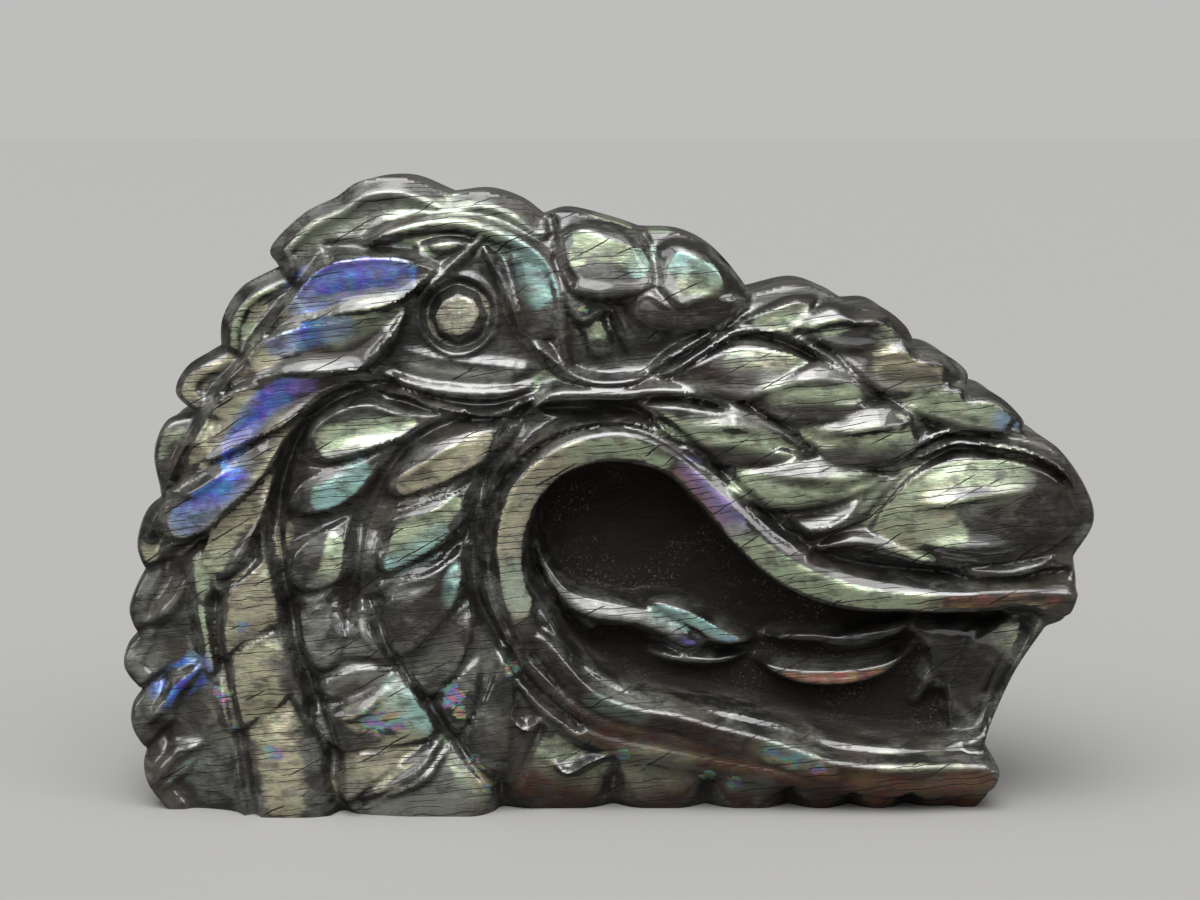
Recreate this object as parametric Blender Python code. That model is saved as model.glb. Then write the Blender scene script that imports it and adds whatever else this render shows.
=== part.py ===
"""A dragon's head carved from one slab of labradorite: mane and scaled neck to the left, the snout to the
right over a deep open mouth, a rim of fins all round, and a flat underside that it stands on.

The slab is the outline drawn out to both sides. Each side is then carved as a depth over the outline: the
body's rounding, the standing forms on it, the grooves between them, and the mouth. The back repeats the
front, plainer. Lengths in the tables are in millimetres, x to the nose and z up; the mesh is in metres.
"""

import bmesh
import bpy
import numpy as np
from mathutils.geometry import delaunay_2d_cdt

MM = 0.001

# Driving dimensions
LENGTH = 299.0
THICKNESS = 70.0
HEIGHT = 195.0

BODY_DEPTH = 28.0  # from the middle plane to the ground that the standing forms rise from
BODY_ROUNDING = 30.0  # from the rim to where the body is full
FIN_WIDTH = 6.0  # flat band for the fins, inside the bevel
RIM_DEPTH = 18.5
BEVEL_WIDTH_LOW = 1.5
BEVEL_WIDTH_HIGH = 4.5
BEVEL_CHANGE = (110.0, 170.0)  # heights between which the bevel widens
BEVEL_RISE = 5.5
BACK_RELIEF = 0.75  # the back's relief as a share of the front's

CUT_BELOW = 3.0  # stone sawn off below the underside
OUTLINE_STEP = 2.0
CARVING_STEP = 1.7
FACETS = 9400

# Places on the front
EYE = (-46.0, 154.0)
EYE_RADIUS = 8.0
EYE_HEIGHT = 5.0
SOCKET_RADIUS = 12.5
SOCKET_DEPTH = 3.5
NOSTRIL = (113.0, 81.5)
NOSTRIL_HALF_SIZE = (18.0, 3.2)
NOSTRIL_DEPTH = 2.0
MOUTH_FLOOR = 8.0  # from the middle plane, at the deepest part of the mouth
MOUTH_WALL = 5.0  # width of the mouth's sloping wall
FOOT_TUCK = 5.0  # how far the foot of the jaw is undercut
FOOT_TUCK_HEIGHT = 9.0
FOOT_TUCK_FROM = -40.0  # where the undercut begins
FOOT_TUCK_RUN = 10.0  # how soon it is full
FOOT_CREASE_WIDTH = 7.0
FOOT_CREASE_DEPTH = 5.0
FLANK_CURVE = 1.6  # 1 makes the forms' flanks straight, more makes them rounder

# The rim, clockwise from the foot of the neck: the notch that each fin or scallop starts from, then its edge
RIM = (
    ((-137, -CUT_BELOW), (-144, 6), (-146, 13)),
    ((-145, 18), (-149, 25), (-149, 32)),
    ((-146, 37), (-151, 44), (-150, 51)),
    ((-147, 55), (-149, 62), (-147, 69)),
    ((-144, 75), (-146, 83), (-143, 93)),
    ((-138, 98), (-140, 111), (-136, 121)),
    ((-128, 124), (-133, 130), (-129, 138)),
    ((-119, 144), (-118, 153), (-112, 162)),
    ((-101, 168), (-103, 174), (-93, 184)),
    ((-83, 189), (-75, 194), (-62, 195)),
    ((-49, 190), (-38, 191), (-28, 188)),
    ((-21, 183), (-13, 185), (0, 182)),
    ((9, 179), (22, 178), (33, 172)),
    ((43, 160), (57, 163), (67, 160)),
    ((74, 156), (82, 156), (90, 150)),
    ((93, 143), (101, 142), (109, 136)),
    ((108, 130), (118, 129), (126, 122)),
    ((127, 118), (137, 113), (146, 101), (149, 90)),
    ((143, 79), (144, 69), (141, 60)),
    ((135, 57), (126, 43), (119, 27)),
    ((117, 20), (121, 12), (119, 5)),
    ((114, -CUT_BELOW),),
)

# Standing forms: crest line, widths to its upper (or left) and lower (or right) side along it, rise
LOCKS = (
    (((-105, 149), (-90, 158), (-72, 162), (-52, 168)), (4, 10, 9, 0), (0, 5, 6, 0), 5.0),
    (((-113, 135), (-97, 139), (-78, 141), (-61, 153)), (7, 12, 11, 0), (1, 3, 4, 0), 5.5),
    (((-133, 106), (-112, 115), (-94, 125), (-72, 137)), (8, 14, 12, 0), (2, 3, 3, 0), 5.5),
    (((-137, 90), (-122, 97), (-110, 103), (-98, 119)), (4, 9, 8, 0), (3, 6, 4, 0), 4.5),
    (((-124, 72), (-119, 82), (-111, 91), (-103, 99)), (3, 5, 5, 0), (4, 6, 5, 0), 4.0),
)
NECK_SCALES = (
    (((-95, 112), (-80, 117), (-64, 122), (-44, 125)), (0, 8, 7, 0), (0, 4, 3, 0), 4.5),
    (((-101, 96), (-90, 104), (-78, 108), (-66, 112)), (0, 7, 6, 0), (0, 5, 4, 0), 4.0),
    (((-99, 72), (-93, 80), (-86, 88), (-80, 96)), (0, 7, 6, 0), (0, 6, 5, 0), 4.0),
    (((-93, 40), (-88, 50), (-84, 60), (-80, 70)), (2, 6, 6, 0), (2, 6, 6, 0), 3.5),
    (((-88, 8), (-82, 22), (-74, 34), (-66, 42)), (2, 7, 7, 0), (4, 9, 7, 0), 4.0),
    (((-71, 100), (-58, 105), (-44, 111), (-28, 122)), (0, 8, 9, 0), (0, 4, 4, 0), 4.5),
    (((-74, 86), (-65, 92), (-54, 98), (-42, 103)), (0, 5, 5, 0), (0, 8, 8, 0), 4.5),
    (((-74, 66), (-64, 75), (-53, 81), (-42, 88)), (0, 5, 5, 0), (0, 10, 10, 0), 4.5),
    (((-62, 46), (-56, 54), (-49, 62), (-42, 70)), (0, 5, 5, 0), (2, 8, 8, 0), 4.0),
    (((-54, 16), (-48, 30), (-42, 42), (-36, 52)), (2, 6, 6, 0), (4, 9, 8, 0), 3.5),
)
FACE_FOLDS = (
    (((-77, 173), (-55, 180), (-28, 175), (-16, 163), (-14, 146)), (0, 6, 7, 6, 3), (0, 6, 7, 6, 0), 5.0),
    (((-69, 135), (-50, 131), (-32, 128), (-18, 133)), (0, 5, 5, 0), (0, 4, 4, 0), 4.0),
    (((-25, 148), (-12, 138), (4, 134), (22, 143), (42, 159)), (0, 4, 5, 4, 0), (0, 5, 5, 5, 0), 4.0),
)
HORNS = (
    (((-18, 172), (-8, 166), (4, 166), (14, 170)), (0, 10, 11, 6), (0, 8, 9, 5), 5.0),
    (((10, 168), (20, 164), (31, 163), (43, 160)), (6, 11, 10, 3), (6, 9, 6, 1), 5.5),
)
SNOUT_LOCKS = (
    (((48, 153), (57, 157), (65, 158), (73, 156)), (0, 4, 4, 0), (0, 3, 3, 0), 3.0),
    (((50, 149), (63, 153), (76, 153), (92, 144)), (0, 4, 5, 3), (0, 5, 5, 0), 4.0),
    (((72, 141), (84, 143), (96, 140), (108, 131)), (0, 5, 5, 3), (0, 4, 4, 0), 4.0),
    (((84, 130), (98, 129), (112, 127), (126, 119)), (0, 5, 6, 4), (0, 4, 4, 0), 4.0),
    (((17, 134), (36, 140), (58, 138), (84, 128)), (0, 8, 10, 0), (0, 7, 9, 0), 5.5),
    (((52, 120), (68, 119), (86, 120), (106, 118)), (0, 5, 6, 0), (0, 8, 7, 0), 5.0),
    (((14, 130), (32, 122), (48, 112), (64, 106)), (0, 8, 9, 3), (0, 9, 10, 3), 5.5),
    (((34, 104), (48, 101), (62, 102), (82, 110)), (0, 6, 7, 0), (0, 6, 8, 0), 5.0),
    (((62, 86), (76, 92), (88, 102), (108, 113)), (0, 4, 5, 0), (0, 4, 5, 0), 4.0),
)
NOSE = ((88, 91), (104, 95), (124, 96), (141, 93)), (6, 18, 19, 10), (8, 15, 17, 10), 7.0
LIPS = (
    (((-26, 53), (-35, 82), (-24, 108), (2, 117), (22, 111), (40, 97), (58, 79), (82, 70), (136, 70)),
     (4, 6, 6, 6, 6, 6, 6, 5, 4), (4, 7, 8, 8, 6, 5, 8, 9, 8), 5.0),
    (((-32, 62), (-18, 47), (4, 33), (34, 26), (66, 18), (92, 16), (117, 15)),
     (3, 6, 7, 7, 6, 6, 4), (3, 5, 6, 8, 9, 9, 6), 5.0),
)
JAW_SCALES = tuple((((x - 4, 3), (x, 8), (x + 3, 14)), (6, 8, 3), (6, 8, 3), 2.5) for x in (-22, 10, 38, 64))

# Grooves: line, half-width, depth
GROOVES = (
    (((-66, 133), (-86, 130), (-98, 112), (-104, 84), (-96, 46), (-86, 0)), 3.5, 3.5),
    (((-44, 125), (-60, 115), (-73, 100), (-79, 82), (-80, 64)), 4.0, 3.0),
    (((-124, 66), (-121, 44), (-114, 18), (-112, 0)), 2.0, 1.5),
    (((-76, 70), (-60, 42), (-46, 20), (-36, 6)), 2.0, 2.0),
    (((-4, 125), (-26, 116), (-38, 100), (-41, 80), (-36, 62), (-27, 50)), 3.0, 4.0),
    (((12, 124), (44, 100), (68, 82), (100, 77), (138, 76)), 2.5, 3.0),
)

# Creases between the pads along the foot of the jaw: x, and how high each runs
FOOT_NOTCHES = ((-34, 17), (1, 16), (30, 13), (56, 9), (75, 7), (93, 7))

# The mouth: its edge, clockwise from the throat
MOUTH = (
    (-26, 72), (-27, 82), (-25, 92), (-20, 101), (-12, 107.5), (-2, 110), (8, 109.5), (18, 106),
    (27, 97.5), (36, 87), (46, 77), (58, 69.5), (72, 65), (90, 64), (112, 64), (132, 63), (124, 42),
    (117, 24), (106, 20), (84, 20.5), (66, 23), (50, 28), (32, 32), (16, 35), (4, 39), (-6, 45),
    (-14, 53), (-20, 63),
)
# In it: the throat's wall, the tongue, the blade and the spoon at its tip, the jaw's wall, and the web
# between the jaws
MOUTH_FORMS = (
    (((-23, 92), (-23, 82), (-20, 72), (-14, 63), (-6, 55)), (3, 3, 3, 3, 3), (3, 3, 3, 3, 3), 11.0),
    (((-20, 80), (-12, 67), (4, 63.5), (22, 58), (46, 56)), (2, 4, 4, 4, 0), (2, 8, 8, 8, 0), 12.0),
    (((46, 53), (60, 53), (76, 53), (97, 58)), (0, 3, 3, 0), (0, 2, 2, 0), 8.0),
    (((44, 46), (58, 41), (74, 40), (98, 51)), (0, 4, 5, 0), (0, 3, 3, 0), 9.0),
    (((-16, 52), (-8, 44.5), (2, 39), (14, 35.5), (30, 33), (50, 30)),
     (2, 2, 2, 2, 2, 0), (3, 4, 4, 4, 4, 0), 12.0),
    (((90, 55), (98, 50), (103, 42), (103, 34)), (2, 6, 6, 3), (1, 3, 3, 2), 6.0),
    (((114, 18), (114, 34), (121, 48), (130, 60)), (8, 9, 10, 6), (8, 8, 8, 8), 12.0),
)
MANE_RIDGE = ((-88, 169), (-103, 152), (-123, 124), (-136, 98), (-141, 84)), (2.5,), (3.0,), 3.0


def curve(points, step=OUTLINE_STEP):
    """A smooth line through the points, as an array of points about a step apart."""
    given = np.array(points, float)
    if len(given) < 3:
        count = max(2, round(np.hypot(*(given[-1] - given[0])) / step))
        return given[0] + np.linspace(0, 1, count + 1)[:, None] * (given[-1] - given[0])
    ends = np.vstack([2 * given[0] - given[1], given, 2 * given[-1] - given[-2]])
    line = []
    for before, start, end, after in zip(ends, ends[1:], ends[2:], ends[3:]):
        count = max(2, round(np.hypot(*(end - start)) / step))
        t = (np.arange(count) / count)[:, None]
        bend = 2 * before - 5 * start + 4 * end - after
        twist = 3 * start - before - 3 * end + after
        line.append(start + 0.5 * (t * (end - before) + t**2 * bend + t**3 * twist))
    return np.vstack([*line, given[-1:]])


def rim_line():
    """The whole outline, each bay smooth and each notch a sharp corner, fitted to the length and height."""
    bays = [curve((*bay, after[0]))[:-1] for bay, after in zip(RIM, RIM[1:])]
    foot = curve((RIM[-1][0], RIM[0][0]))[:-1]
    line = np.vstack([*bays, foot])
    middle = (line[:, 0].min() + line[:, 0].max()) / 2
    stretch = (LENGTH / np.ptp(line[:, 0]), HEIGHT / line[:, 1].max())
    return (line - (middle, 0)) * stretch


def eased(t):
    t = np.clip(t, 0, 1)
    return t * t * (3 - 2 * t)


def along(line, at):
    """How far along the line each point's nearest place is, as a share, and its distance, + on the left."""
    nearest = np.full(len(at), np.inf)
    share = np.zeros(len(at))
    side = np.zeros(len(at))
    lengths = np.hypot(*(line[1:] - line[:-1]).T)
    starts = np.cumsum(lengths) - lengths
    for a, b, length, start in zip(line, line[1:], lengths, starts):
        run = b - a
        t = np.clip((at - a) @ run / length**2, 0, 1)
        off = at - a - t[:, None] * run
        distance = np.hypot(off[:, 0], off[:, 1])
        closer = distance < nearest
        nearest = np.where(closer, distance, nearest)
        share = np.where(closer, (start + t * length) / lengths.sum(), share)
        side = np.where(closer, np.where(run[0] * off[:, 1] >= run[1] * off[:, 0], 1, -1), side)
    return share, side * nearest


def standing(at, points, left, right, rise):
    """How far a form stands out: a crest line whose two flanks fall away over the given widths."""
    height = np.zeros(len(at))
    line = curve(points)
    reach = max(*left, *right)
    close = ((at > line.min(axis=0) - reach) & (at < line.max(axis=0) + reach)).all(axis=1)
    share, offset = along(line, at[close])
    width = np.where(
        offset > 0,
        np.interp(share, np.linspace(0, 1, len(left)), left),
        np.interp(share, np.linspace(0, 1, len(right)), right),
    )
    fall = np.clip(np.abs(offset) / np.maximum(width, 0.01), 0, 1)
    slender = eased(width / (0.5 * reach))
    height[close] = rise * slender * (1 - fall**FLANK_CURVE)
    return height


def cut(at, points, half_width, depth):
    return standing(at, points, (half_width,) * 2, (half_width,) * 2, depth)


def inside(ring, at):
    """Distance from the closed ring, + inside it."""
    closed = np.vstack([ring, ring[:1]])
    within = np.zeros(len(at), bool)
    for (ax, az), (bx, bz) in zip(closed, closed[1:]):
        if az != bz:
            crossing = ax + (at[:, 1] - az) * (bx - ax) / (bz - az)
            within ^= ((az > at[:, 1]) != (bz > at[:, 1])) & (at[:, 0] < crossing)
    return np.where(within, 1, -1) * np.abs(along(closed, at)[1])


def body(at, rim):
    """The body before it is carved: a bevel round the rim, a flat band for the fins, then a swell."""
    upper = rim[rim[:, 1] > -CUT_BELOW + 0.01]
    from_rim = np.abs(along(upper, at)[1])
    bevel_width = np.interp(at[:, 1], BEVEL_CHANGE, (BEVEL_WIDTH_LOW, BEVEL_WIDTH_HIGH))
    bevel = BEVEL_RISE * np.clip(from_rim / bevel_width, 0, 1)
    swell = eased((from_rim - FIN_WIDTH) / (BODY_ROUNDING - FIN_WIDTH))
    return RIM_DEPTH + bevel + (BODY_DEPTH - RIM_DEPTH - BEVEL_RISE) * swell


def foot(at):
    """What is cut away along the foot of the jaw: the creases between its pads, and the undercut below."""
    lines = [((x, -CUT_BELOW), (x, 0), (x + 1, top)) for x, top in FOOT_NOTCHES]
    creases = [cut(at, line, FOOT_CREASE_WIDTH, FOOT_CREASE_DEPTH) for line in lines]
    begun = eased((at[:, 0] - FOOT_TUCK_FROM) / FOOT_TUCK_RUN)
    low = np.clip(1 - at[:, 1] / FOOT_TUCK_HEIGHT, 0, 1) ** 2
    return np.max(creases, axis=0) + FOOT_TUCK * begun * low


def eye(at):
    distance = np.hypot(*(at - EYE).T)
    socket = -SOCKET_DEPTH * eased((SOCKET_RADIUS - distance) / 3)
    ball = EYE_HEIGHT * np.sqrt(np.clip(1 - (distance / (EYE_RADIUS + 1)) ** 2, 0, 1))
    return socket + ball


def nostril(at):
    reach = np.hypot(*((at - NOSTRIL) / NOSTRIL_HALF_SIZE).T)
    return -NOSTRIL_DEPTH * eased(1.2 - reach)


def carved(at, rim, relief=1.0):
    """Depth of one side of the stone at each (x, z), from the middle plane."""
    groups = (*LOCKS, *NECK_SCALES, *FACE_FOLDS, *HORNS, *SNOUT_LOCKS, *LIPS, *JAW_SCALES, NOSE, MANE_RIDGE)
    raised = np.max([standing(at, *form) for form in groups], axis=0)
    sunk = np.maximum(np.max([cut(at, *groove) for groove in GROOVES], axis=0), foot(at))
    rounding = body(at, rim)
    surface = rounding + relief * (raised - sunk + eye(at) + nostril(at))
    floor = MOUTH_FLOOR + np.max([standing(at, *form) for form in MOUTH_FORMS], axis=0)
    mouth = curve((*MOUTH, MOUTH[0]))[:-1]
    opening = eased(inside(mouth, at) / MOUTH_WALL)
    return surface + opening * relief * (np.minimum(floor, rounding) - surface)


def slab(rim):
    """The outline filled with triangles, drawn out into a slab: front and back alike, joined at the rim."""
    low, high = rim.min(axis=0), rim.max(axis=0)
    columns = np.arange(low[0], high[0], CARVING_STEP)
    rows = np.arange(low[1], high[1], CARVING_STEP * np.sqrt(3) / 2)
    x, z = np.meshgrid(columns, rows)
    x[::2] += CARVING_STEP / 2
    fill = np.column_stack([x.ravel(), z.ravel()])
    fill = fill[inside(rim, fill) > 0.6 * CARVING_STEP]
    points = [tuple(point) for point in np.vstack([rim, fill])]
    places, _, faces, *_ = delaunay_2d_cdt(points, [], [range(len(rim))], 1, 1e-4)

    slab_mesh = bmesh.new()
    corners = [slab_mesh.verts.new((x, 0, z)) for x, z in places]
    sheet = [slab_mesh.faces.new([corners[i] for i in face]) for face in faces]
    drawn = bmesh.ops.extrude_face_region(slab_mesh, geom=sheet)
    front = [item for item in drawn["geom"] if isinstance(item, bmesh.types.BMVert)]
    return slab_mesh, front, corners


def carve(slab_mesh, front, back, rim):
    for side, relief, facing in ((front, 1.0, -1), (back, BACK_RELIEF, 1)):
        at = np.array([(vert.co.x, vert.co.z) for vert in side])
        for vert, depth in zip(side, carved(at, rim, relief)):
            vert.co.y = facing * depth
    for vert in slab_mesh.verts:
        vert.co *= MM
    bmesh.ops.recalc_face_normals(slab_mesh, faces=slab_mesh.faces)


def facet(stone):
    """Fewer, larger facets where the surface is calm."""
    facets = stone.modifiers.new("facets", "DECIMATE")
    facets.ratio = FACETS / (2 * len(stone.data.vertices))
    bpy.context.view_layer.objects.active = stone
    bpy.ops.object.modifier_apply(modifier=facets.name)


def saw_flat(stone):
    """The underside, sawn flat, and the finished stone fitted to its driving dimensions."""
    mesh = bmesh.new()
    mesh.from_mesh(stone.data)
    everything = [*mesh.verts, *mesh.edges, *mesh.faces]
    level = {"plane_co": (0, 0, 0), "plane_no": (0, 0, -1)}
    sawn = bmesh.ops.bisect_plane(mesh, geom=everything, clear_outer=True, **level)
    edges = [item for item in sawn["geom_cut"] if isinstance(item, bmesh.types.BMEdge)]
    bmesh.ops.contextual_create(mesh, geom=edges)
    places = np.array([vert.co for vert in mesh.verts])
    low, high = places.min(axis=0), places.max(axis=0)
    size = np.array((LENGTH, THICKNESS, HEIGHT)) * MM
    origin = ((low[0] + high[0]) / 2, (low[1] + high[1]) / 2, low[2])
    for vert, place in zip(mesh.verts, (places - origin) * size / (high - low)):
        vert.co = place
    bmesh.ops.recalc_face_normals(mesh, faces=mesh.faces)
    mesh.to_mesh(stone.data)
    mesh.free()


def labradorite():
    stone = bpy.data.materials.new("labradorite")
    stone.use_nodes = True
    shader = stone.node_tree.nodes["Principled BSDF"]
    shader.inputs["Base Color"].default_value = (0.028, 0.033, 0.030, 1)
    shader.inputs["Roughness"].default_value = 0.16
    shader.inputs["Metallic"].default_value = 0.0
    return stone


def main():
    for item in list(bpy.data.objects):
        bpy.data.objects.remove(item)
    rim = rim_line()
    slab_mesh, front, back = slab(rim)
    carve(slab_mesh, front, back, rim)
    mesh = bpy.data.meshes.new("dragon_carving")
    slab_mesh.to_mesh(mesh)
    slab_mesh.free()
    mesh.materials.append(labradorite())
    stone = bpy.data.objects.new("dragon_carving", mesh)
    bpy.context.scene.collection.objects.link(stone)
    facet(stone)
    saw_flat(stone)


main()
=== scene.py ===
"""A dragon's head carved from one slab of labradorite, on a plain pale floor.

The outline is cut out as two sheets, a front and a back. Each is carved as a depth over the outline, and the
two are joined round the rim. The finish is polished labradorite, with coloured flashes, fine cracks and
rough groove bottoms. Among the flashes are a painted grey sheen and painted highlights on some facets, and
dark brown patches that are partly painted shade. Sizes are in millimetres, x to the nose and z up, and a line
is its x and z in turn.
"""

import math

import bpy
import numpy as np
from bpy.props import FloatProperty, FloatVectorProperty, PointerProperty
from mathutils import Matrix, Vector
from mathutils.geometry import delaunay_2d_cdt
from mathutils.kdtree import KDTree


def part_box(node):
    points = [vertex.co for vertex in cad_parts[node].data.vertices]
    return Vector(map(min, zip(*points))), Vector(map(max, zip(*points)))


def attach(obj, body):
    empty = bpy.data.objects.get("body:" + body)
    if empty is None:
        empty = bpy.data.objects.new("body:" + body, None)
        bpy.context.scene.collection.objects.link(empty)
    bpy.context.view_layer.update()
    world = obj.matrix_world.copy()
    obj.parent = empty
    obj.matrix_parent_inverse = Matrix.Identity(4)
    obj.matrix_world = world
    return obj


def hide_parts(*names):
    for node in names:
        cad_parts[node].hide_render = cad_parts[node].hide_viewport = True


bl_info = {
    "name": "Labradorite dragon carving",
    "version": (1, 0, 0),
    "blender": (4, 5, 0),
    "location": "View3D > Sidebar > Dragon",
    "description": "Carves a labradorite dragon's head and finishes the stone",
    "category": "Object",
}

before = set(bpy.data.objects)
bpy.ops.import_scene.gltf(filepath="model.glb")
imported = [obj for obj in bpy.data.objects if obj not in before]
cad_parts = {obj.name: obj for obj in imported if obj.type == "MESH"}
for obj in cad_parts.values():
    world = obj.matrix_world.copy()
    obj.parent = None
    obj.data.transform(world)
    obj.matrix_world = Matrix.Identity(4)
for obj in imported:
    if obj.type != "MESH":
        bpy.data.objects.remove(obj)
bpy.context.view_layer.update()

NODE = "dragon_carving"
SLOT = "labradorite"
MM = 0.001

LOW, HIGH = (np.array(corner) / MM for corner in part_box(NODE))

# The body under the carving
BODY_DEPTH = 28.0  # from the middle plane to the ground that the forms stand on
BODY_ROUNDING = 30.0  # from the rim to where the body is full
FIN_WIDTH = 6.0  # flat band inside the bevel
RIM_DEPTH_LOW = 19.0  # at the foot
RIM_DEPTH_HIGH = 18.5
RIM_CHANGE_HEIGHT = 60.0  # from which the upper depth holds
BEVEL_WIDTH_LOW = 1.0
BEVEL_WIDTH_HIGH = 4.5
BEVEL_RISE = 5.5
BEVEL_CHANGE = (110.0, 170.0)  # heights between which the bevel widens
SAWN_FOOT = -3.0  # the outline runs on to here below the flat foot, and is sawn off at 0
OUTLINE_STEP = 1.0
CURVE_STEP = 1.5
CREST_SPACING = 0.8  # of the points along a crest, as a share of the step
CREST_MERGE = 0.7  # crest points closer than this share are one
POINT_CLEARANCE = 0.6  # between the fill's points and those of the rim and crests, as a share of the step
RIM_SAMPLE = 0.3  # of the rim, when distances from it are measured
POLISH = 2  # how many times the carved surface is softened
FACET_POLISH = 3
MOUTH_POLISH = 8
FACING_POLISH = 2
SKIN_ROUNDS = 30  # how long the skin between the forms is smoothed at each size
COARSEST_SKIN = 8  # in cells
GAP_REACH = 4.0  # from a form to the bottom of the gap beside it
GAP_DEPTH = 2.5
GAP_FALL = 2.5  # how fast a gap falls away from the forms beside it
FORM_RISE = 0.1  # the least height that counts as part of a form
CREST_WIDTH = 0.4  # added to each flank, so that no crest is a knife edge
EDGING_WIDTH = 1.0  # crisp line along the edges of a leaf
EDGING_RISE = 0.7
SECTION_SAMPLES = 41  # across a leaf
FULL_WIDTH = 0.5  # share of a leaf's greatest width from which it stands at its full height
SLENDER = 0.7  # how soon a leaf thins towards its points
THINNEST = 0.01
ROUGH_DEPTH = 3.0  # of a groove whose bottom no wheel polishes
ROUGH_GAP = 0.7  # roughness of the deepest gap
ROUGH_FROM = 0.2
POLISHED_RISE = 3.0  # height over the mouth's floor from which its forms are polished
FLASH_FACING = (0.76, 0.93)  # how squarely a face must look out to flash, none to full
FLASH_LEEWAY = 0.3  # a flash stronger than 1 also shows on faces turned this much further away
FLASH_CORE = 0.36  # a flash is full to this share of its half-width, and gone at the next
FLASH_REACH = 1.8
OPAL_REACH = 1.3  # of an opal spot's fading edge, as a share of its radius
EDGE_CUTS = 5  # rows of facets across the slab's edge, less one
SMOOTH_ANGLE = math.radians(75)  # sharper edges stay crisp

# The finish
FLASH_METAL = 0.6  # how metallic a full flash is
STONE_ROUGHNESS = 0.36
STONE_IOR = 1.57
STONE_SPECULAR = 0.2
COAT_ROUGHNESS = 0.105
COAT_IOR = 1.6
BUMP_STRENGTH = 0.6
# Cracks along the layers: how far they stray from level, how much they dip from front to back, how crisp
# they are, and how soon they fade where they break off
CRACK_WOBBLE = 3.0
CRACK_DIP = 0.35
CRACK_CONTRAST = 1.8
CRACK_FADE = 0.07

# Lights: name, share of the strength, azimuth from the front with + to the right, elevation and breadth
LIGHTS_ABOVE = (("sky", 0.25, -8, 64, 100), ("overhead", 0.55, -8, 64, 66), ("key", 0.20, -8, 64, 36))
LIGHTS_BESIDE = (("left", 1, -70, 28, 24), ("right", 1, 62, 32, 20))
FLOOR_RADIUS = 30.0  # in metres
PAPER = (0.19, 0.188, 0.183, 1)
PAPER_REFLECTED = (0.05, 0.047, 0.042, 1)
CAMERA_AIM = (-2.1, 0, 109.5)

# The rim, clockwise from the foot of the neck: the notch that each fin or scallop starts from, then its edge
RIM = (
    (-137, -3, -144, 6, -146, 13), (-145, 18, -149, 25, -149, 32), (-146, 37, -151, 44, -150, 51),
    (-147, 55, -149, 62, -147, 69), (-144, 75, -146, 83, -143, 93), (-138, 98, -140, 111, -136, 121),
    (-128, 124, -133, 130, -129, 138), (-119, 144, -118, 153, -112, 162), (-101, 168, -103, 174, -93, 184),
    (-83, 189, -75, 194, -62, 195), (-49, 190, -38, 191, -28, 188), (-21, 183, -13, 185, 0, 182),
    (9, 179, 22, 178, 33, 172), (43, 160, 57, 163, 67, 160), (74, 156, 82, 156, 90, 150),
    (93, 143, 101, 142, 109, 136), (108, 130, 118, 129, 126, 122), (127, 118, 137, 113, 146, 101, 149, 90),
    (143, 79, 144, 69, 141, 60), (135, 57, 126, 43, 119, 27), (117, 20, 121, 12, 119, 5), (114, -3),
)
# Creases that run in from the notches of the mane and neck
CREASED_BAYS = slice(1, 9)
CREASE_AIM = (-50.0, 110.0)
CREASE_REACH = (-2.0, 6.0, 14.0)  # from the notch to its three points
CREASE_WIDTHS = ((1.2, 1.2, 0), (7, 7, 0))
CREASE_DEPTH = 2.2
# Creases up from the foot of the jaw: x, and how high each runs
FOOT_CREASES = ((-34, 17), (1, 16), (30, 13), (56, 9), (75, 7), (93, 7))
FOOT_CREASE_WIDTHS = (10, 6, 0)
FOOT_CREASE_DEPTH = 6.0
# The foot is tucked in under the jaw
FOOT_TUCK = 5.0
FOOT_TUCK_START = -40.0
FOOT_TUCK_RUN = 10.0
FOOT_TUCK_HEIGHT = 12.0

# Cross-sections of a leaf, from its upper edge to its lower: share of the width, and how far the surface
# tilts there, in degrees, + to face up
LOCK = ((0, 30), (0.12, -20), (0.25, -4), (0.55, 2), (0.72, 22), (0.9, 38), (1, 10))
SHELF = ((0, 30), (0.12, -20), (0.3, 0), (0.5, 5), (0.68, 24), (0.88, 38), (1, 10))
CRESTED = ((0, 20), (0.1, 42), (0.3, 28), (0.42, 6), (0.7, -3), (0.85, 10), (1, -30))
BLADE = ((0, 8), (0.35, 26), (0.75, 40), (0.85, 0), (1, -55))
PAD = ((0, 50), (0.12, 20), (0.3, 6), (0.6, -4), (0.85, -18), (1, -45))
PANE = ((0, 48), (0.15, 20), (0.3, 2), (0.7, 2), (0.85, 18), (1, -40))
TUCKED = ((0, 30), (0.2, 5), (0.6, -12), (1, -40))
TILE = ((0, 34), (0.05, 16), (0.25, 5), (0.7, -3), (1, -25))
BULB = ((0, 45), (0.08, 18), (0.3, 6), (0.6, -2), (0.85, -14), (1, -50))
BOWL = ((0, -4), (0.4, -12), (0.44, 28), (0.52, 28), (0.56, -10), (1, -24))

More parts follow.
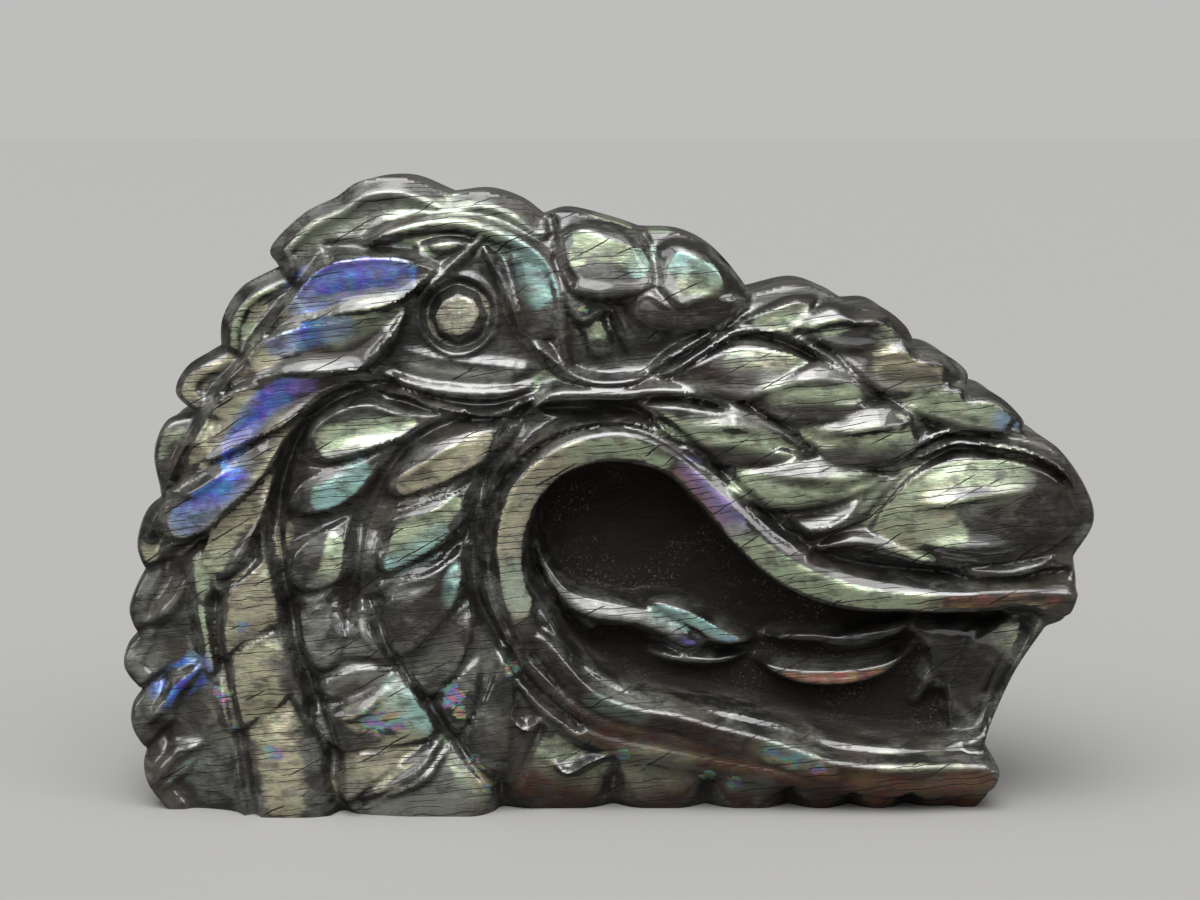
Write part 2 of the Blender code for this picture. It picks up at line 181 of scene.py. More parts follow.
# Leaves: upper edge and lower edge, both from left to right, then rise and cross-section. The lower edge
# leaves out the two ends that it shares with the upper
MANE = (
    ((-106, 147, -100, 154, -88, 168, -76, 171.5, -66, 172, -57, 170, -51, 168),
     (-95, 151.5, -80, 154.5, -66, 157, -59, 161), 5.5, LOCK),
    ((-117, 131, -107, 145, -95, 150.5, -80, 153.5, -66, 156, -60, 160),
     (-108, 134, -97, 136.5, -84, 137, -75, 138, -69, 144, -63, 152), 6, LOCK),
    ((-132, 104, -125, 119, -117, 130, -108, 133.5, -97, 136, -84, 136, -74, 137.5),
     (-120, 110.5, -110, 115.5, -100, 120, -92, 125.5, -84, 131), 6.5, LOCK),
    ((-140, 88, -134, 101, -124, 107.5, -113, 112.5, -103, 118.5, -94, 125),
     (-130, 86, -121, 90.5, -113, 98, -105, 105, -99, 114), 5.5, CRESTED),
    ((-122, 72, -124, 82, -120, 90, -113, 97.5, -106, 103.5, -101, 111), (-114, 78, -108, 87, -104, 97), 5,
     SHELF),
    ((-131, 76, -126, 83, -123, 88), (-124, 66, -121.5, 74), 4, PAD),
)
NECK = (
    ((-121, 64, -117, 70, -109, 77, -104, 84, -102, 90),
     (-120, 49, -113, 54, -106, 58, -100.5, 62, -101, 76), 4.5, TILE),
    ((-120, 46, -113, 52, -106, 57, -99, 60), (-116.5, 27, -108, 31, -99, 37, -97, 48), 4, TILE),
    ((-116, 24, -108, 29.5, -100, 35.5, -95, 40), (-111, -3, -88, -3, -89, 18), 4, TILE),
    ((-96, 64, -90, 67.5, -82, 66), (-94, 52, -87, 47, -81, 54), 3.5, PANE),
    ((-91, 39, -84, 44.5, -76, 47, -67, 46.5), (-82, 37, -72, 41), 3.5, PAD),
    ((-91, 32, -82, 36.5, -74, 40.5, -65, 47), (-86, 22, -76, 21, -64, 22.5, -54, 27), 4, TILE),
    ((-84, 20, -74, 20.5, -63, 21.5, -54, 24), (-82, 5, -70, 13, -60, 20), 3.5, PANE),
    ((-80, 4, -70, 12, -62, 18, -52, 24), (-68, 9, -58, 15), 4, BLADE),
    ((-80, 1, -67, 8, -57, 14, -50, 22), (-70, -3, -40, -3, -36, 6, -43, 14), 3.5, TILE),
    ((-81, 62, -75, 66, -70, 62), (-84, 52, -74, 50, -67, 50), 3, PANE),
    ((-64, 49, -58, 54, -50, 62, -43, 68), (-56, 38, -47, 46, -43, 56), 3.5, PANE),
    ((-56, 37, -48, 43, -40, 50), (-48, 26, -42, 34), 3, PAD),
    ((-46, 23, -40, 33, -35, 44, -33, 54), (-36, 9, -31, 26, -30, 42), 3.5, TILE),
)
CHEEK = (
    ((-94, 112, -89, 121, -81, 126.5, -72, 128, -62, 125, -44, 124),
     (-84, 111, -74, 113.5, -64, 117, -55, 121.5), 6, SHELF),
    ((-99, 95, -95, 103, -88, 107.5, -76, 111, -64, 116), (-90, 95, -82, 97, -75, 102), 5, CRESTED),
    ((-100, 76, -95, 84, -88, 89, -79, 94), (-93, 71, -84, 73, -79, 80), 5, CRESTED),
    ((-96, 66, -90, 71.5, -82, 73.5), (-88, 67.5), 3.5, BLADE),
    ((-70, 99, -65, 107, -58, 113.5, -50, 118, -40, 120.5, -28, 122),
     (-60, 100.5, -50, 104, -42, 108, -35, 113), 6, CRESTED),
    ((-69, 95, -60, 100.5, -50, 104.5, -38, 109.5), (-58, 98, -48, 101.5), 4.5, BLADE),
    ((-71, 88, -66, 94, -56, 98.5, -46, 102, -39, 106), (-69, 77, -60, 80, -51, 86, -43, 94), 5.5, CRESTED),
    ((-75, 69, -66, 76, -56, 81, -48, 85, -41, 93), (-66, 73, -54, 79), 4.5, BLADE),
    ((-73, 67, -64, 73.5, -54, 78, -46, 83, -41, 90), (-69, 60, -63, 51, -55, 58, -47, 68), 5.5, CRESTED),
)
SNOUT = (
    ((35, 151, 46, 155.5, 54, 158.5, 62, 159), (48, 148.5, 56, 149.5), 4, PANE),
    ((50, 149, 60, 154.5, 70, 158, 80, 156.5, 90, 150), (62, 146, 72, 143.5, 84, 145, 92, 145), 4.5, PANE),
    ((66, 144, 78, 144.5, 88, 146, 98, 142, 107, 136), (74, 137, 82, 131, 94, 131, 102, 133), 4.5, PANE),
    ((82, 129, 92, 131.5, 103, 133, 114, 130, 124, 123), (92, 125, 104, 120.5, 118, 119), 4.5, PANE),
    ((17, 135, 29, 142, 39, 145.5, 52, 143.5, 66, 138), (30, 130.5, 42, 129, 52, 134, 60, 138), 4, PANE),
    ((40, 128.5, 50, 134.5, 60, 139.5, 67, 139, 75, 134, 84, 128), (48, 124, 58, 122.5, 70, 123.5), 4.5,
     PANE),
    ((46, 128.5, 58, 128, 70, 128.5, 82, 128), (56, 123.5, 68, 123.5), 6, PAD),
    ((54, 120.5, 66, 122.5, 76, 126.5, 86, 127, 98, 119.5), (62, 114, 70, 109.5, 82, 109.5, 91, 113), 5,
     PANE),
    ((60, 115, 70, 115.5, 82, 114, 92, 114), (66, 110.5, 74, 109, 84, 110), 6, PAD),
    ((8, 128, 20, 127.5, 32, 126, 38, 127, 48, 121, 58, 114), (16, 119, 26, 114.5, 40, 114.5), 4.5, PANE),
    ((20, 115.5, 32, 114.8, 46, 114.5, 60, 112.5), (30, 110, 44, 109.5), 5, PAD),
    ((33, 107.5, 46, 108, 56, 111, 64, 112.5, 74, 109, 84, 106), (40, 99, 49, 95.5, 62, 97, 74, 100), 5,
     PANE),
    ((49, 94, 60, 95, 70, 97.5, 78, 103), (56, 89, 64, 89, 72, 93), 4, BLADE),
    ((79, 89, 84, 98, 92, 106.5, 104, 111.5, 118, 111, 130, 108, 139, 102, 145, 92),
     (90, 84, 102, 80, 116, 79, 130, 81, 139, 85.5), 3, BULB),
)
HORNS = (
    ((-18, 176, -12, 180, -4, 181, 6, 178.5, 13, 174), (-13, 163, -5, 159, 4, 160, 12, 163), 4.5, PANE),
    ((14, 174, 20, 176, 29, 173, 36, 167, 42, 160), (15, 163, 21, 157, 30, 159), 5, PANE),
    ((4, 158, 12, 161.5, 19, 157, 26, 161, 34, 159.5, 43, 160), (10, 152, 20, 150, 32, 151), 5.5, PAD),
    ((-16, 168, -8, 163, 1, 157), (-12, 155, -7, 152), 3, PANE),
    ((-8, 150, -4, 153, 0, 150), (-6, 144, -1, 143), 2, PAD),
)
LIDS = (
    ((-66, 145, -58, 143, -50, 141, -36, 139.5, -24, 138), (-62, 136, -48, 133, -34, 132.5), 0.8, BOWL, 0),
    ((-30, 176, -22, 171, -18, 160, -17, 148), (-28, 160, -25, 147), 2.5, TUCKED),
    ((-56, 175, -48, 176.5, -41, 175.5), (-50, 173.5), 2.5, PAD),
)
LEAVES = (*MANE, *NECK, *CHEEK, *SNOUT, *HORNS, *LIDS)
# Tilted facets cut into the leaves: upper edge and lower edge, as above
FACETS = (
    ((38, 130, 48, 134, 58, 139.5, 68, 138.5, 78, 131), (48, 131, 58, 134, 68, 134)),
    ((18, 121, 30, 123.5, 37, 127, 43, 123.5, 52, 117.5), (30, 120, 40, 119.5)),
    ((56, 121, 67, 123.5, 75, 126, 83, 127, 93, 121), (64, 118.5, 72, 118.5, 82, 120)),
    ((44, 106, 53, 109, 60, 112.5, 67, 111.5, 75, 109, 83, 107), (54, 104.5, 64, 104, 74, 104.5)),
    ((60, 89, 68, 94, 76, 100, 82, 107, 90, 113.5, 103, 118.5),
     (60, 89, 70, 89.5, 77, 93, 83, 100, 91, 107, 103, 114.5)),
    ((52, 150, 60, 156, 70, 158, 77, 157, 87, 151), (60, 149.5, 68, 151.5, 77, 151)),
    ((72, 144, 80, 144, 87, 146, 93, 144, 102, 138), (80, 141.5, 88, 142, 95, 139)),
    ((84, 129, 93, 131.5, 104, 132.5, 114, 130, 122, 124), (94, 129, 104, 129.5, 114, 127)),
    ((90, 97, 95, 101.5, 104, 103.5, 118, 103.5, 134, 102), (100, 96.5, 110, 98.5, 122, 100)),
    ((92, 86, 100, 89, 112, 90.5, 122, 89.5, 128, 86.5), (100, 83.5, 112, 82.5, 122, 83.5)),
    ((8, 162.5, 13, 161.5, 19, 159, 26, 161, 34, 161.5), (13, 159, 19, 156.5, 26, 158)),
    ((-25, 148, -19, 144, -13, 138), (-21, 140.5)),
    ((-11, 147, -8, 143, -5, 137), (-10, 140)),
    ((-74, 142, -69, 149, -61, 156), (-66, 143)),
    ((-70, 92, -62, 97.5, -52, 101, -42, 103.5), (-62, 92.5, -52, 95.5)),
    ((-72, 71, -62, 76.5, -52, 80.5, -44, 85), (-62, 72.5, -52, 76)),
    ((-68, 102, -61, 110.5, -52, 116.5, -40, 119), (-58, 108, -50, 113)),
    ((-139, 92, -133, 101, -122, 107.5, -110, 112.5), (-131, 97, -120, 103.5)),
    ((-89, 30, -79, 37, -66, 41.5), (-76, 31.5)),
    ((-78, 64, -72, 58, -68, 49), (-75.5, 56)),
    ((-143, 3, -140, 11, -134, 17.5, -127, 20), (-136, 8, -130, 13.5)),
    ((-144, 22, -140, 32, -132, 40), (-135, 29)),
    ((-96, 64.5, -90, 68.5, -83, 70), (-89, 64)),
    ((-77, 4, -67, 13, -58, 19.5, -50, 21.5), (-64, 7.5, -55, 12.5)),
    ((-100, 66, -98, 76, -96, 88), (-95.5, 76)),
    ((-132, 86, -125, 88, -122, 90), (-126, 84.5)),
)

# Ridges: crest line, widths on its left and on its right along it, rise, cross-sections of its left and
# right flanks, straight where none is given. A single width runs out at the two ends, and three are those at
# the start, all along and at the end
ROUND = ((0, 1), (0.25, 0.94), (0.5, 0.75), (0.75, 0.44), (1, 0))
FLAT = ((0, 1), (1, 0))
THIN = ((0, 1), (0.3, 0.6), (0.6, 0.25), (1, 0))
BEVEL = ((0, 1), (0.4, 0.8), (0.8, 0.25), (1, 0))
BAND = ((0, 1), (0.7, 0.72), (1, 0.5))
SLOPE = ((0, 1), (0.12, 0.97), (0.75, 0.55), (1, 0))
RIDGES = (
    # mane and neck
    ((-86, 169, -101, 152, -117, 132, -128, 116, -136, 100, -141, 86), (2,), (2,), 5.5, THIN, THIN),
    ((-140, 80, -133, 84, -125, 88), 2.5, 1.6, 3, BEVEL),
    ((-143, 57, -136, 63, -131, 70, -128, 78), (0, 4, 3, 0), 2, 3.5, BEVEL),
    ((-122, 46, -124, 60, -126, 74, -125, 86), (3, 4, 0), (1.5, 2.5, 3, 0), 3.5, ROUND, ROUND),
    ((-145, 25, -139, 32, -133, 39, -124, 48), 3, 2, 2.8, BEVEL),
    ((-142, 5, -139, 12, -133, 18, -125, 22), 3.5, 2, 2.8, BEVEL),
    ((-88, 3, -91, 22, -97, 43, -101, 62, -105, 84, -102, 104, -96, 119, -86, 128, -73, 132),
     (3, 4, 4, 3, 3, 3, 3, 2, 0), (1.5, 1.5, 0), 4.5, BEVEL),
    # brow, lids, cheekbone and snout
    ((-77, 173.5, -66, 178.5, -54, 181, -44, 181, -32, 177.5, -21, 171.5, -16, 162, -15, 150, -13, 139),
     (0, 2.5, 3, 3, 3, 2.5, 2.5, 2.5, 2), (0, 2, 2.5, 2.5, 3, 3, 3, 3, 2), 4.5, BEVEL, BEVEL),
    ((-39, 176, -33, 165, -29, 155, -26, 146), 2, 1.5, 3.5),
    ((-60, 157.5, -50, 167, -39, 177), (1, 1.6, 1), (1, 1.6, 1), 2.5),
    ((-26, 148, -19, 142, -12, 136, -4, 133.5, 6, 134, 13, 137), (0, 3, 3, 2.5, 2.5, 0),
     (0, 1.5, 2, 2, 1.5, 0), 5, BEVEL),
    ((11, 136.5, 18, 141.5, 26, 146, 34, 151, 43, 158.5), 2, 1.5, 4.5, BEVEL, THIN),
    ((-1, 159, 2, 151, 6, 142), 1.2, 1.5, 3.5),
    ((-72, 137.5, -58, 132, -46, 130, -34, 129.8, -22, 132.5), (0, 2.5, 3, 3, 0), 1, 3.4, SLOPE, THIN),
    ((-76, 132, -62, 130.5, -52, 126.5, -41, 124.5, -31, 125.5, -20, 131), 1.5, 1.5, 5, THIN, THIN),
    ((-26, 123, -19, 129.5, -8, 130.5, 4, 130.5, 16, 131.5, 28, 130, 40, 125.5, 52, 118.5, 62, 111.5),
     (0, 3, 3, 3, 3, 2.5, 2, 2, 0), (0, 2.5, 3, 3, 2.5, 2, 1.5, 1.5, 0), 6, BEVEL, BEVEL),
    ((13, 124, 28, 124.5, 42, 118.5, 52, 112), 0.8, 0.8, 4),
    ((12, 134.5, 20, 138, 28, 143, 37, 148.5, 49, 149, 61, 144, 72, 136.5, 84, 128.5),
     (0, 2, 2, 2.5, 2.5, 2, 2, 0), 1.5, 6, BEVEL, THIN),
    ((18, 135, 28, 141, 38, 145.5, 49, 144.5, 60, 140, 66, 137), 1, 1, 4.8),
    ((84, 127.5, 95, 123, 107, 119.5), 1.5, 1.5, 5, BEVEL, THIN),
    ((64, 110.5, 75, 108.5, 86, 111, 98, 117.5, 110, 119.5, 126, 117.5), (0, 2, 2.5, 2.5, 2, 0), 1.5, 6,
     BEVEL, THIN),
    ((10, 124.5, 22, 117, 34, 108, 44, 99.5, 54, 94), (0, 1.2, 1.5, 1.2, 0), (0, 1.2, 1.5, 1.2, 0), 3.5),
    # nose
    ((86, 108.5, 96, 113, 104, 115.5, 116, 114.5, 128, 112, 138, 106, 143, 97), (0, 1.5, 2, 2, 2, 2, 0), 1,
     7, BEVEL),
    ((60, 82, 72, 84.5, 84, 83, 95, 79.5, 107, 77), (0, 4, 4, 3, 0), (0, 2, 3, 2, 0), 4, ROUND),
    ((104, 75.5, 116, 74, 127, 75.5, 138, 80), 3.5, 2, 4, ROUND),
    # ring, lips and jaw
    ((-31, 54, -37, 68, -39.5, 84, -37, 98, -30, 109.5, -18, 118.5, -4, 122, 9, 121, 20, 115, 33, 104.5),
     (1, 1, 1, 1, 1, 1.5, 1.5, 1.5, 1.5, 0), (1.2, 1.5, 0), 4.5),
    ((-29, 58, -33, 70, -34, 84, -31, 98, -24, 108, -12, 115.5, 2, 118, 14, 115, 26, 106, 38, 94, 50, 83,
      62, 75.5, 78, 70.5, 98, 69, 120, 69.5, 140, 69), (2, 3, 3, 3, 3, 3, 3, 4, 6, 6, 6, 5, 4, 3, 3, 3),
     (7, 8, 8, 8, 8, 8, 8, 8, 8, 8, 8, 7, 6, 6, 7, 7), 6.5, SLOPE, BAND),
    ((18, 117, 27, 111, 34, 104.5, 42, 96, 50, 88, 60, 83), 1, 1, 5),
    ((-28, 52, -22, 56, -15, 49, -9, 42, -2, 37, 8, 33.5, 20, 31.5, 32, 28, 46, 24.5, 58, 20.5, 68, 17, 80,
      15.5, 98, 15.2, 116, 14.5), (2, 3, 3), (3, 4, 5, 5, 5, 5, 6, 6, 7, 7, 7, 8, 9, 8), 6.5, BEVEL, BAND),
    ((-22, 63, -16, 55.5, -8, 48, 0, 43, 10, 38.5, 24, 35.5, 44, 31, 64, 27.5, 84, 25.5),
     (1, 1.5, 1.5, 1.5, 1.5, 1.5, 1.5, 1, 0), (1, 1.5, 1.5, 1.5, 1.5, 1.5, 1.5, 1, 0), 1.5),
    ((-31, 57, -25, 46.5, -15, 36.5, -4, 29.5, 10, 26, 30, 21.5, 50, 17, 66, 14), (2, 3, 3, 3, 3, 3, 2, 0),
     (2, 4, 4, 5, 5, 5, 3, 0), 3, ROUND, ROUND),
    ((-30, 44, -24, 37, -15, 29.5, -5, 24, 8, 20.5, 24, 17.5, 42, 14, 64, 10.5, 90, 8.5, 114, 7),
     (1, 3, 4, 4, 4, 4, 4, 4, 4, 4), (1, 3, 4, 4, 4, 4, 4, 4, 4, 4), 3, ROUND, ROUND),
    # throat and foot
    ((-33, 39, -31, 31, -26, 26.5, -21, 29.5, -18, 24), 1, 1, 2.5),
    ((-28, 43, -21, 35, -12, 27), 1.5, 1.5, 2.5),
    ((-18, 16, -13, 13, -5, 17, 4, 19.5, 20, 17), 1, 1, 3),
    ((-68, 68, -62, 56, -55, 46, -45, 33, -36, 22), (0, 1.2, 1.5, 1.2, 0), 1.5, 3),
)

# Grooves: line, half-width, depth
GROOVES = (
    ((-66, 133, -84, 129, -93, 121, -99, 108, -102, 92, -101, 78, -97, 60, -92, 40, -85, 20, -83, 0), 2.2,
     3),
    ((-45, 123, -56, 118.5, -64, 111, -71, 102, -76, 92, -78, 80, -80, 64), 2.6, 3),
    ((-121, 68, -120, 54, -117, 38, -113, 18, -110, 0), 2, 3),
    ((-74, 67, -66, 49, -56, 36, -46, 21, -35, 7), 1.3, 2),
    ((-27, 126, -35, 112, -41.5, 98, -43, 84, -41, 68, -33, 53, -22, 38, -10, 28), 2, 3.5),
    ((-26, 122, -33, 110, -36, 96, -36.5, 84, -34, 70, -30, 58), 1.2, 2),
    ((-20, 126, -6, 126, 8, 125, 20, 119, 34, 107, 46, 96, 58, 88), 1.5, 3),
    ((62, 81, 80, 77, 100, 75.5, 124, 73, 140, 75), 1.6, 3.5),
    ((-18, 182, -16, 172, -12, 164), 1.6, 2.5),
    ((9, 180, 13, 171, 14.5, 165), 1.2, 2.5),
    ((-30, 7, -26, 16, -21, 27), 1, 1.5),
    ((-85, 174.5, -72, 174, -60, 173.5), 1.8, 2.5),
)

# Eye: a dome with an eight-sided polished flat, in a ringed socket
EYE = (-46.0, 154.0)
EYE_RADIUS = 9.0
EYE_HEIGHT = 6.5
EYE_FLAT = 4.3
EYE_EDGE = 8.6  # half the width of the foot of its eight facets
EYE_FACET_SLOPE = 1.4
LID_RADIUS = 11.4
LID_RISE = 2.2
LID_HALF_WIDTH = 1.7
SOCKET_DEPTH = 1.6

# Mouth: the edge of the opening, clockwise from the throat, and what stands in it, measured from its floor
MOUTH_FLOOR = 8.0
MOUTH_WALL = 4.0
MOUTH = (
    -26, 72, -27, 82, -25, 92, -20, 101, -12, 107.5, -2, 110, 8, 109.5, 18, 106, 27, 97.5, 36, 87, 46, 77,
    58, 69.5, 72, 65, 90, 64, 112, 64, 132, 63, 124, 42, 117, 24, 106, 20, 84, 20.5, 66, 23, 50, 28, 32, 32,
    16, 35, 4, 39, -6, 45, -14, 53, -20, 63,
)
TONGUE = ((0, 36), (0.3, 32), (0.82, 28), (0.9, 0), (1, -30))
PLATE = ((0, 45), (0.1, 8), (0.45, 6), (0.6, 26), (1, 40))
ROLL = ((0, 25), (0.3, 5), (0.6, -15), (1, -45))
MOUTH_LEAVES = (
    ((-22, 85, -17, 75.5, -11.5, 69, 0, 66, 12, 63, 22, 57, 34, 50),
     (-20, 73, -13, 64, -6, 59, 9, 57, 22, 52), 8.5, TONGUE),
    ((7, 66, 16, 65.5, 26, 62.5, 36, 57, 47, 51.5), (16, 61, 26, 55, 35, 50), 10, TILE),
    ((-12, 63, -5, 61.5, 6, 62, 13, 58, 22, 53, 34, 51.5), (-5, 56, 6, 55, 14, 52, 24, 48), 8.5, ROLL),
    ((46, 52, 58, 55, 72, 55, 86, 57, 97, 59), (58, 51, 74, 51, 88, 53), 7, PLATE),
    ((44, 46, 54, 44.5, 64, 43.5, 76, 44, 86, 46, 98, 51), (52, 40, 62, 37, 74, 37, 86, 40.5), 7.5, PLATE),
    ((90, 56, 98, 50, 101, 42, 101, 34), (112, 58, 114, 46, 106, 36), 6, ROLL),
)
MOUTH_RIDGES = (
    ((-23, 92, -23, 82, -20, 72, -14, 63, -6, 55), (2, 3, 2), (1.5, 2, 1.5), 11, ROUND),
    ((10, 47.5, 22, 46, 34, 45.5, 46, 47.5), 2, 3, 7, FLAT, ROUND),
    ((62, 51, 74, 50.5, 86, 53, 97, 56), 1, 3, 9),
    ((-16, 52, -8, 44.5, 2, 39, 14, 35.5, 30, 33, 50, 30), (1, 1.2, 0), (2, 3, 0), 12),
    ((96, 33, 101, 41, 106, 47, 114, 56), (2, 5, 6, 4), (3, 6, 8, 6), 7),
    ((114, 18, 114, 34, 121, 48, 130, 60), (8, 9, 10, 6), (8,), 12, BAND, BAND),
)

# Where the stone flashes, and where a sheen, highlights and shade are painted: for each colour, every flash's
# half-width, strength and line through its middle
FLASHES_AND_PAINTED_LIGHT = {
    "blue": (
        (5, 1, -92, 160, -84, 165, -74, 168, -64, 168), (3, 0.9, -100, 146, -90, 149, -80, 151),
        (3, 1.2, -116, 110, -111, 119, -105, 127, -98, 132), (4, 1.1, -129, 92, -121, 99, -113, 106),
        (4, 1.3, -137, 38, -131, 42, -126, 46), (3, 0.8, 119, 122, 124, 124),
    ),
    "violet": (
        (3, 0.9, -90, 164, -78, 169, -66, 170), (2, 0.6, -102, 132, -90, 134),
        (3, 0.6, 24, 108, 32, 99, 38, 90), (3, 0.6, 14, 50, 26, 49, 38, 50),
    ),
    "cyan": (
        (3, 0.35, -136, 10, -130, 15), (3.5, 1, -86, 100, -80, 104, -76, 108),
        (3.5, 1, -64, 80, -58, 83, -52, 87), (4, 1, -45, 70, -43, 80), (4, 0.4, -64, 36, -58, 30),
        (3.5, 0.6, -66, 40, -58, 34, -52, 28), (5, 0.8, -30, 176, -24, 170, -20, 163),
        (5, 1, 12, 170, 20, 173, 30, 170), (3, 1.3, -28, 68, -30, 78), (3.5, 1, 16, 62.5, 26, 58.5, 38, 53),
        (3, 0.6, 8, 80, 12, 80), (3, 0.5, -4, 36, 8, 33), (3, 0.7, 50, 21, 60, 18), (2.5, 0.4, 38, 9, 48, 9),
    ),
    "green": (
        (4, 0.8, -82, 150, -72, 155, -64, 157), (5, 0.8, -124, 50, -124, 66, -122, 82),
        (4, 0.6, -92, 177, -84, 182, -78, 180), (5, 0.6, -112, 150, -111, 158, -104, 166),
        (4, 0.4, -141, 106, -138, 114, -132, 120), (4, 1, -84, 116, -74, 119, -62, 119),
        (3, 1, -84, 78, -82, 88), (3.5, 0.9, -64, 86, -56, 92, -48, 98), (3, 0.6, -50, 22, -44, 14, -38, 6),
        (5, 0.8, -62, 175, -48, 178, -36, 177), (4, 0.8, -64, 184, -48, 185.5, -32, 182),
        (4, 0.8, -8, 182, 4, 184, 16, 180), (5, 0.9, -12, 174, 0, 177, 10, 173), (4, 0.8, 24, 164, 30, 166),
        (3, 0.8, -7, 150, 0, 151), (3, 0.8, -21, 133, -17, 136), (4, 0.9, 48, 153, 58, 155),
        (4, 0.6, 64, 152, 76, 154, 86, 150), (3.5, 1, 38, 143, 48, 144, 58, 142),
        (3, 1, 50, 131, 60, 131.5, 72, 130), (3, 1.1, 60, 117, 74, 117, 88, 118),
        (5, 0.7, 92, 127, 106, 126, 118, 124), (3.2, 1, 16, 121, 28, 119, 40, 117, 54, 114),
        (3.4, 1.8, 38, 104, 52, 101, 66, 102, 78, 103), (7.5, 1, 84, 94, 93, 102, 106, 107, 118, 109),
        (5, 0.7, 94, 84, 102, 88), (3.2, 1, -10, 112.5, 2, 114, 14, 110.5),
        (3.6, 1.4, 38, 87.5, 48, 79.5, 60, 73, 78, 69, 96, 67.5), (4, 1, 124, 54, 128, 62),
        (2, 0.9, 84, 17, 98, 16.5, 112, 17), (6, 0.45, -18, 20, 0, 12, 18, 14),
    ),
    "gold": (
        (3, 0.8, -98, 155, -92, 160), (4, 0.8, -106, 141, -98, 147),
        (4.5, 0.9, -125, 112, -118, 124, -112, 130), (5, 0.8, -138, 82, -128, 90, -120, 93),
        (4, 0.8, -121, 82, -112, 96, -106, 104), (5, 0.9, -103, 84, -102, 100, -97, 118),
        (9, 0.6, -112, 36, -110, 54, -108, 72), (6, 0.7, -100, 6, -101, 18, -103, 32),
        (2.5, 0.7, -108, 148, -107, 156), (3.5, 0.6, -129, 128, -125, 136, -118, 142),
        (4.2, 1.8, -60, 104, -50, 109, -40, 115), (4, 0.6, -78, 32, -70, 33, -66, 36),
        (6, 0.7, -80, 10, -70, 16, -62, 22), (2.5, 0.8, 44, 142, 52, 141), (2.5, 0.8, 60, 119, 70, 117),
        (5, 0.6, 84, 140, 94, 138), (5, 0.8, 88, 88, 94, 92, 98, 98),
        (3.8, 2, -28, 68, -30, 83, -28, 95, -21, 105, -10, 112), (3, 0.5, 46, 22, 56, 19, 66, 17),
        (2.5, 0.5, 4, 19, 10, 18),
    ),
    "copper": (
        (2.5, 0.5, -44, 18, -38, 10), (3.5, 0.6, 22, 106, 29, 98, 35, 90),
        (4, 0.4, 98, 67, 116, 67, 134, 68), (4, 0.8, 52, 40, 66, 39, 82, 41),
        (4.5, 2, 78, 7, 98, 6, 114, 8), (1.8, 0.8, 60, 15, 68, 13),
    ),
    # Dark brown stone, and also painted shade in valleys and along the lower parts of leaves
    "dark_brown_and_painted_shade": (
        (4, 1.1, -106, 116, -97, 124, -86, 132), (3, 0.8, -112, 112, -104, 118),
        (3, 0.9, -114, 116, -106, 124, -98, 130), (3, 1.1, -88, 158, -76, 161, -62, 164),
        (4, 1.1, -88, 145, -76, 147, -66, 152), (5, 0.8, -64, 53, -58, 62, -50, 70),
        (3.5, 1, -83, 20, -82, 5), (5, 0.8, -60, 62, -52, 54), (6, 0.8, -28, 166, -30, 156, -26, 148),
        (5, 0.9, 10, 154, 22, 154, 34, 155), (4, 0.8, 22, 138, 32, 139, 40, 137),
        (3.5, 2.2, 44, 126, 60, 125, 78, 126), (3, 2.2, 60, 113, 76, 112, 90, 113),
        (3, 2.2, 16, 116, 32, 113, 50, 109, 60, 106), (3.5, 2.2, 40, 98, 54, 96, 70, 98),
        (2.5, 1.8, 94, 123, 106, 121, 116, 119), (2.5, 1.8, 84, 136, 96, 134),
        (8, 0.75, 126, 108, 134, 100, 134, 90, 120, 96), (6, 0.9, -28, 54, -20, 42, -10, 32),
        (6, 1.1, -12, 46, 4, 38, 30, 31, 60, 25, 100, 20), (7, 0.9, 104, 34, 110, 44, 116, 50),
    ),
    # A painted grey sheen standing in for the lights' reflection on tilted facets, the crest's bevel and the
    # band under the eye
    "painted_sheen": (
        (7, 1, -94, 178, -75, 186, -58, 188, -40, 186, -26, 182), (5, 0.4, -142, 40, -140, 55, -136, 68),
        (4.5, 1.5, -94, 58, -90, 64, -86, 71), (3, 0.9, -80, 62, -72, 58),
        (6, 0.5, -84, 48, -72, 48, -62, 44), (5, 0.5, -50, 52, -42, 44), (6, 0.7, -78, 6, -62, 5, -46, 5),
        (4, 0.5, -86, 14, -88, 30, -90, 46), (6, 0.4, -124, 8, -120, 24, -118, 36),
        (3, 0.6, -60, 137, -48, 135, -32, 135), (3, 1, 48, 135, 58, 137, 68, 136),
        (2.5, 0.9, 24, 121.5, 36, 124, 44, 122), (2.5, 1, 64, 121, 76, 124, 86, 124),
        (2.5, 1, 50, 106, 62, 109, 76, 108),
        (3.5, 1, 66, 91, 76, 98, 88, 110, 100, 117, 114, 117, 128, 113),
        (3.5, 0.8, 52, 158, 66, 160, 80, 156), (3.5, 0.8, -16, 73, -8, 65, 6, 61, 18, 57),
    ),
    # Painted highlights on the eye's flat, the left edge of the ring and the tip of a horn
    "pale": (
        (5, 1.6, -50, 152, -42, 156), (3, 0.7, -2, 184, 8, 183.5), (3, 1.4, -29, 84, -27, 95, -20, 105),
    ),
    "chestnut": (
        (8, 1, -6, 28, 14, 22, 34, 17, 56, 12, 86, 9, 112, 8), (8, 1, -34, 4, 0, 4, 40, 4, 80, 4, 112, 4),
    ),
}
# Spots of many-coloured opal fire: x, z and radius
OPALS = (
    (-72, 31, 6), (-66, 30, 4), (-48, 38, 5), (-46, 33, 3), (-119, 38, 4), (-116, 28, 3), (-42, 16, 4),
    (-38, 9, 3), (50, 20, 4), (56, 18, 4), (64, 15, 3), (38, 9, 4), (30, 12, 3), (4, 19, 3), (-30, 46, 3),
    (14, 51, 3), (-8, 156, 2), (-112, 60, 3), (-104, 20, 4),
)


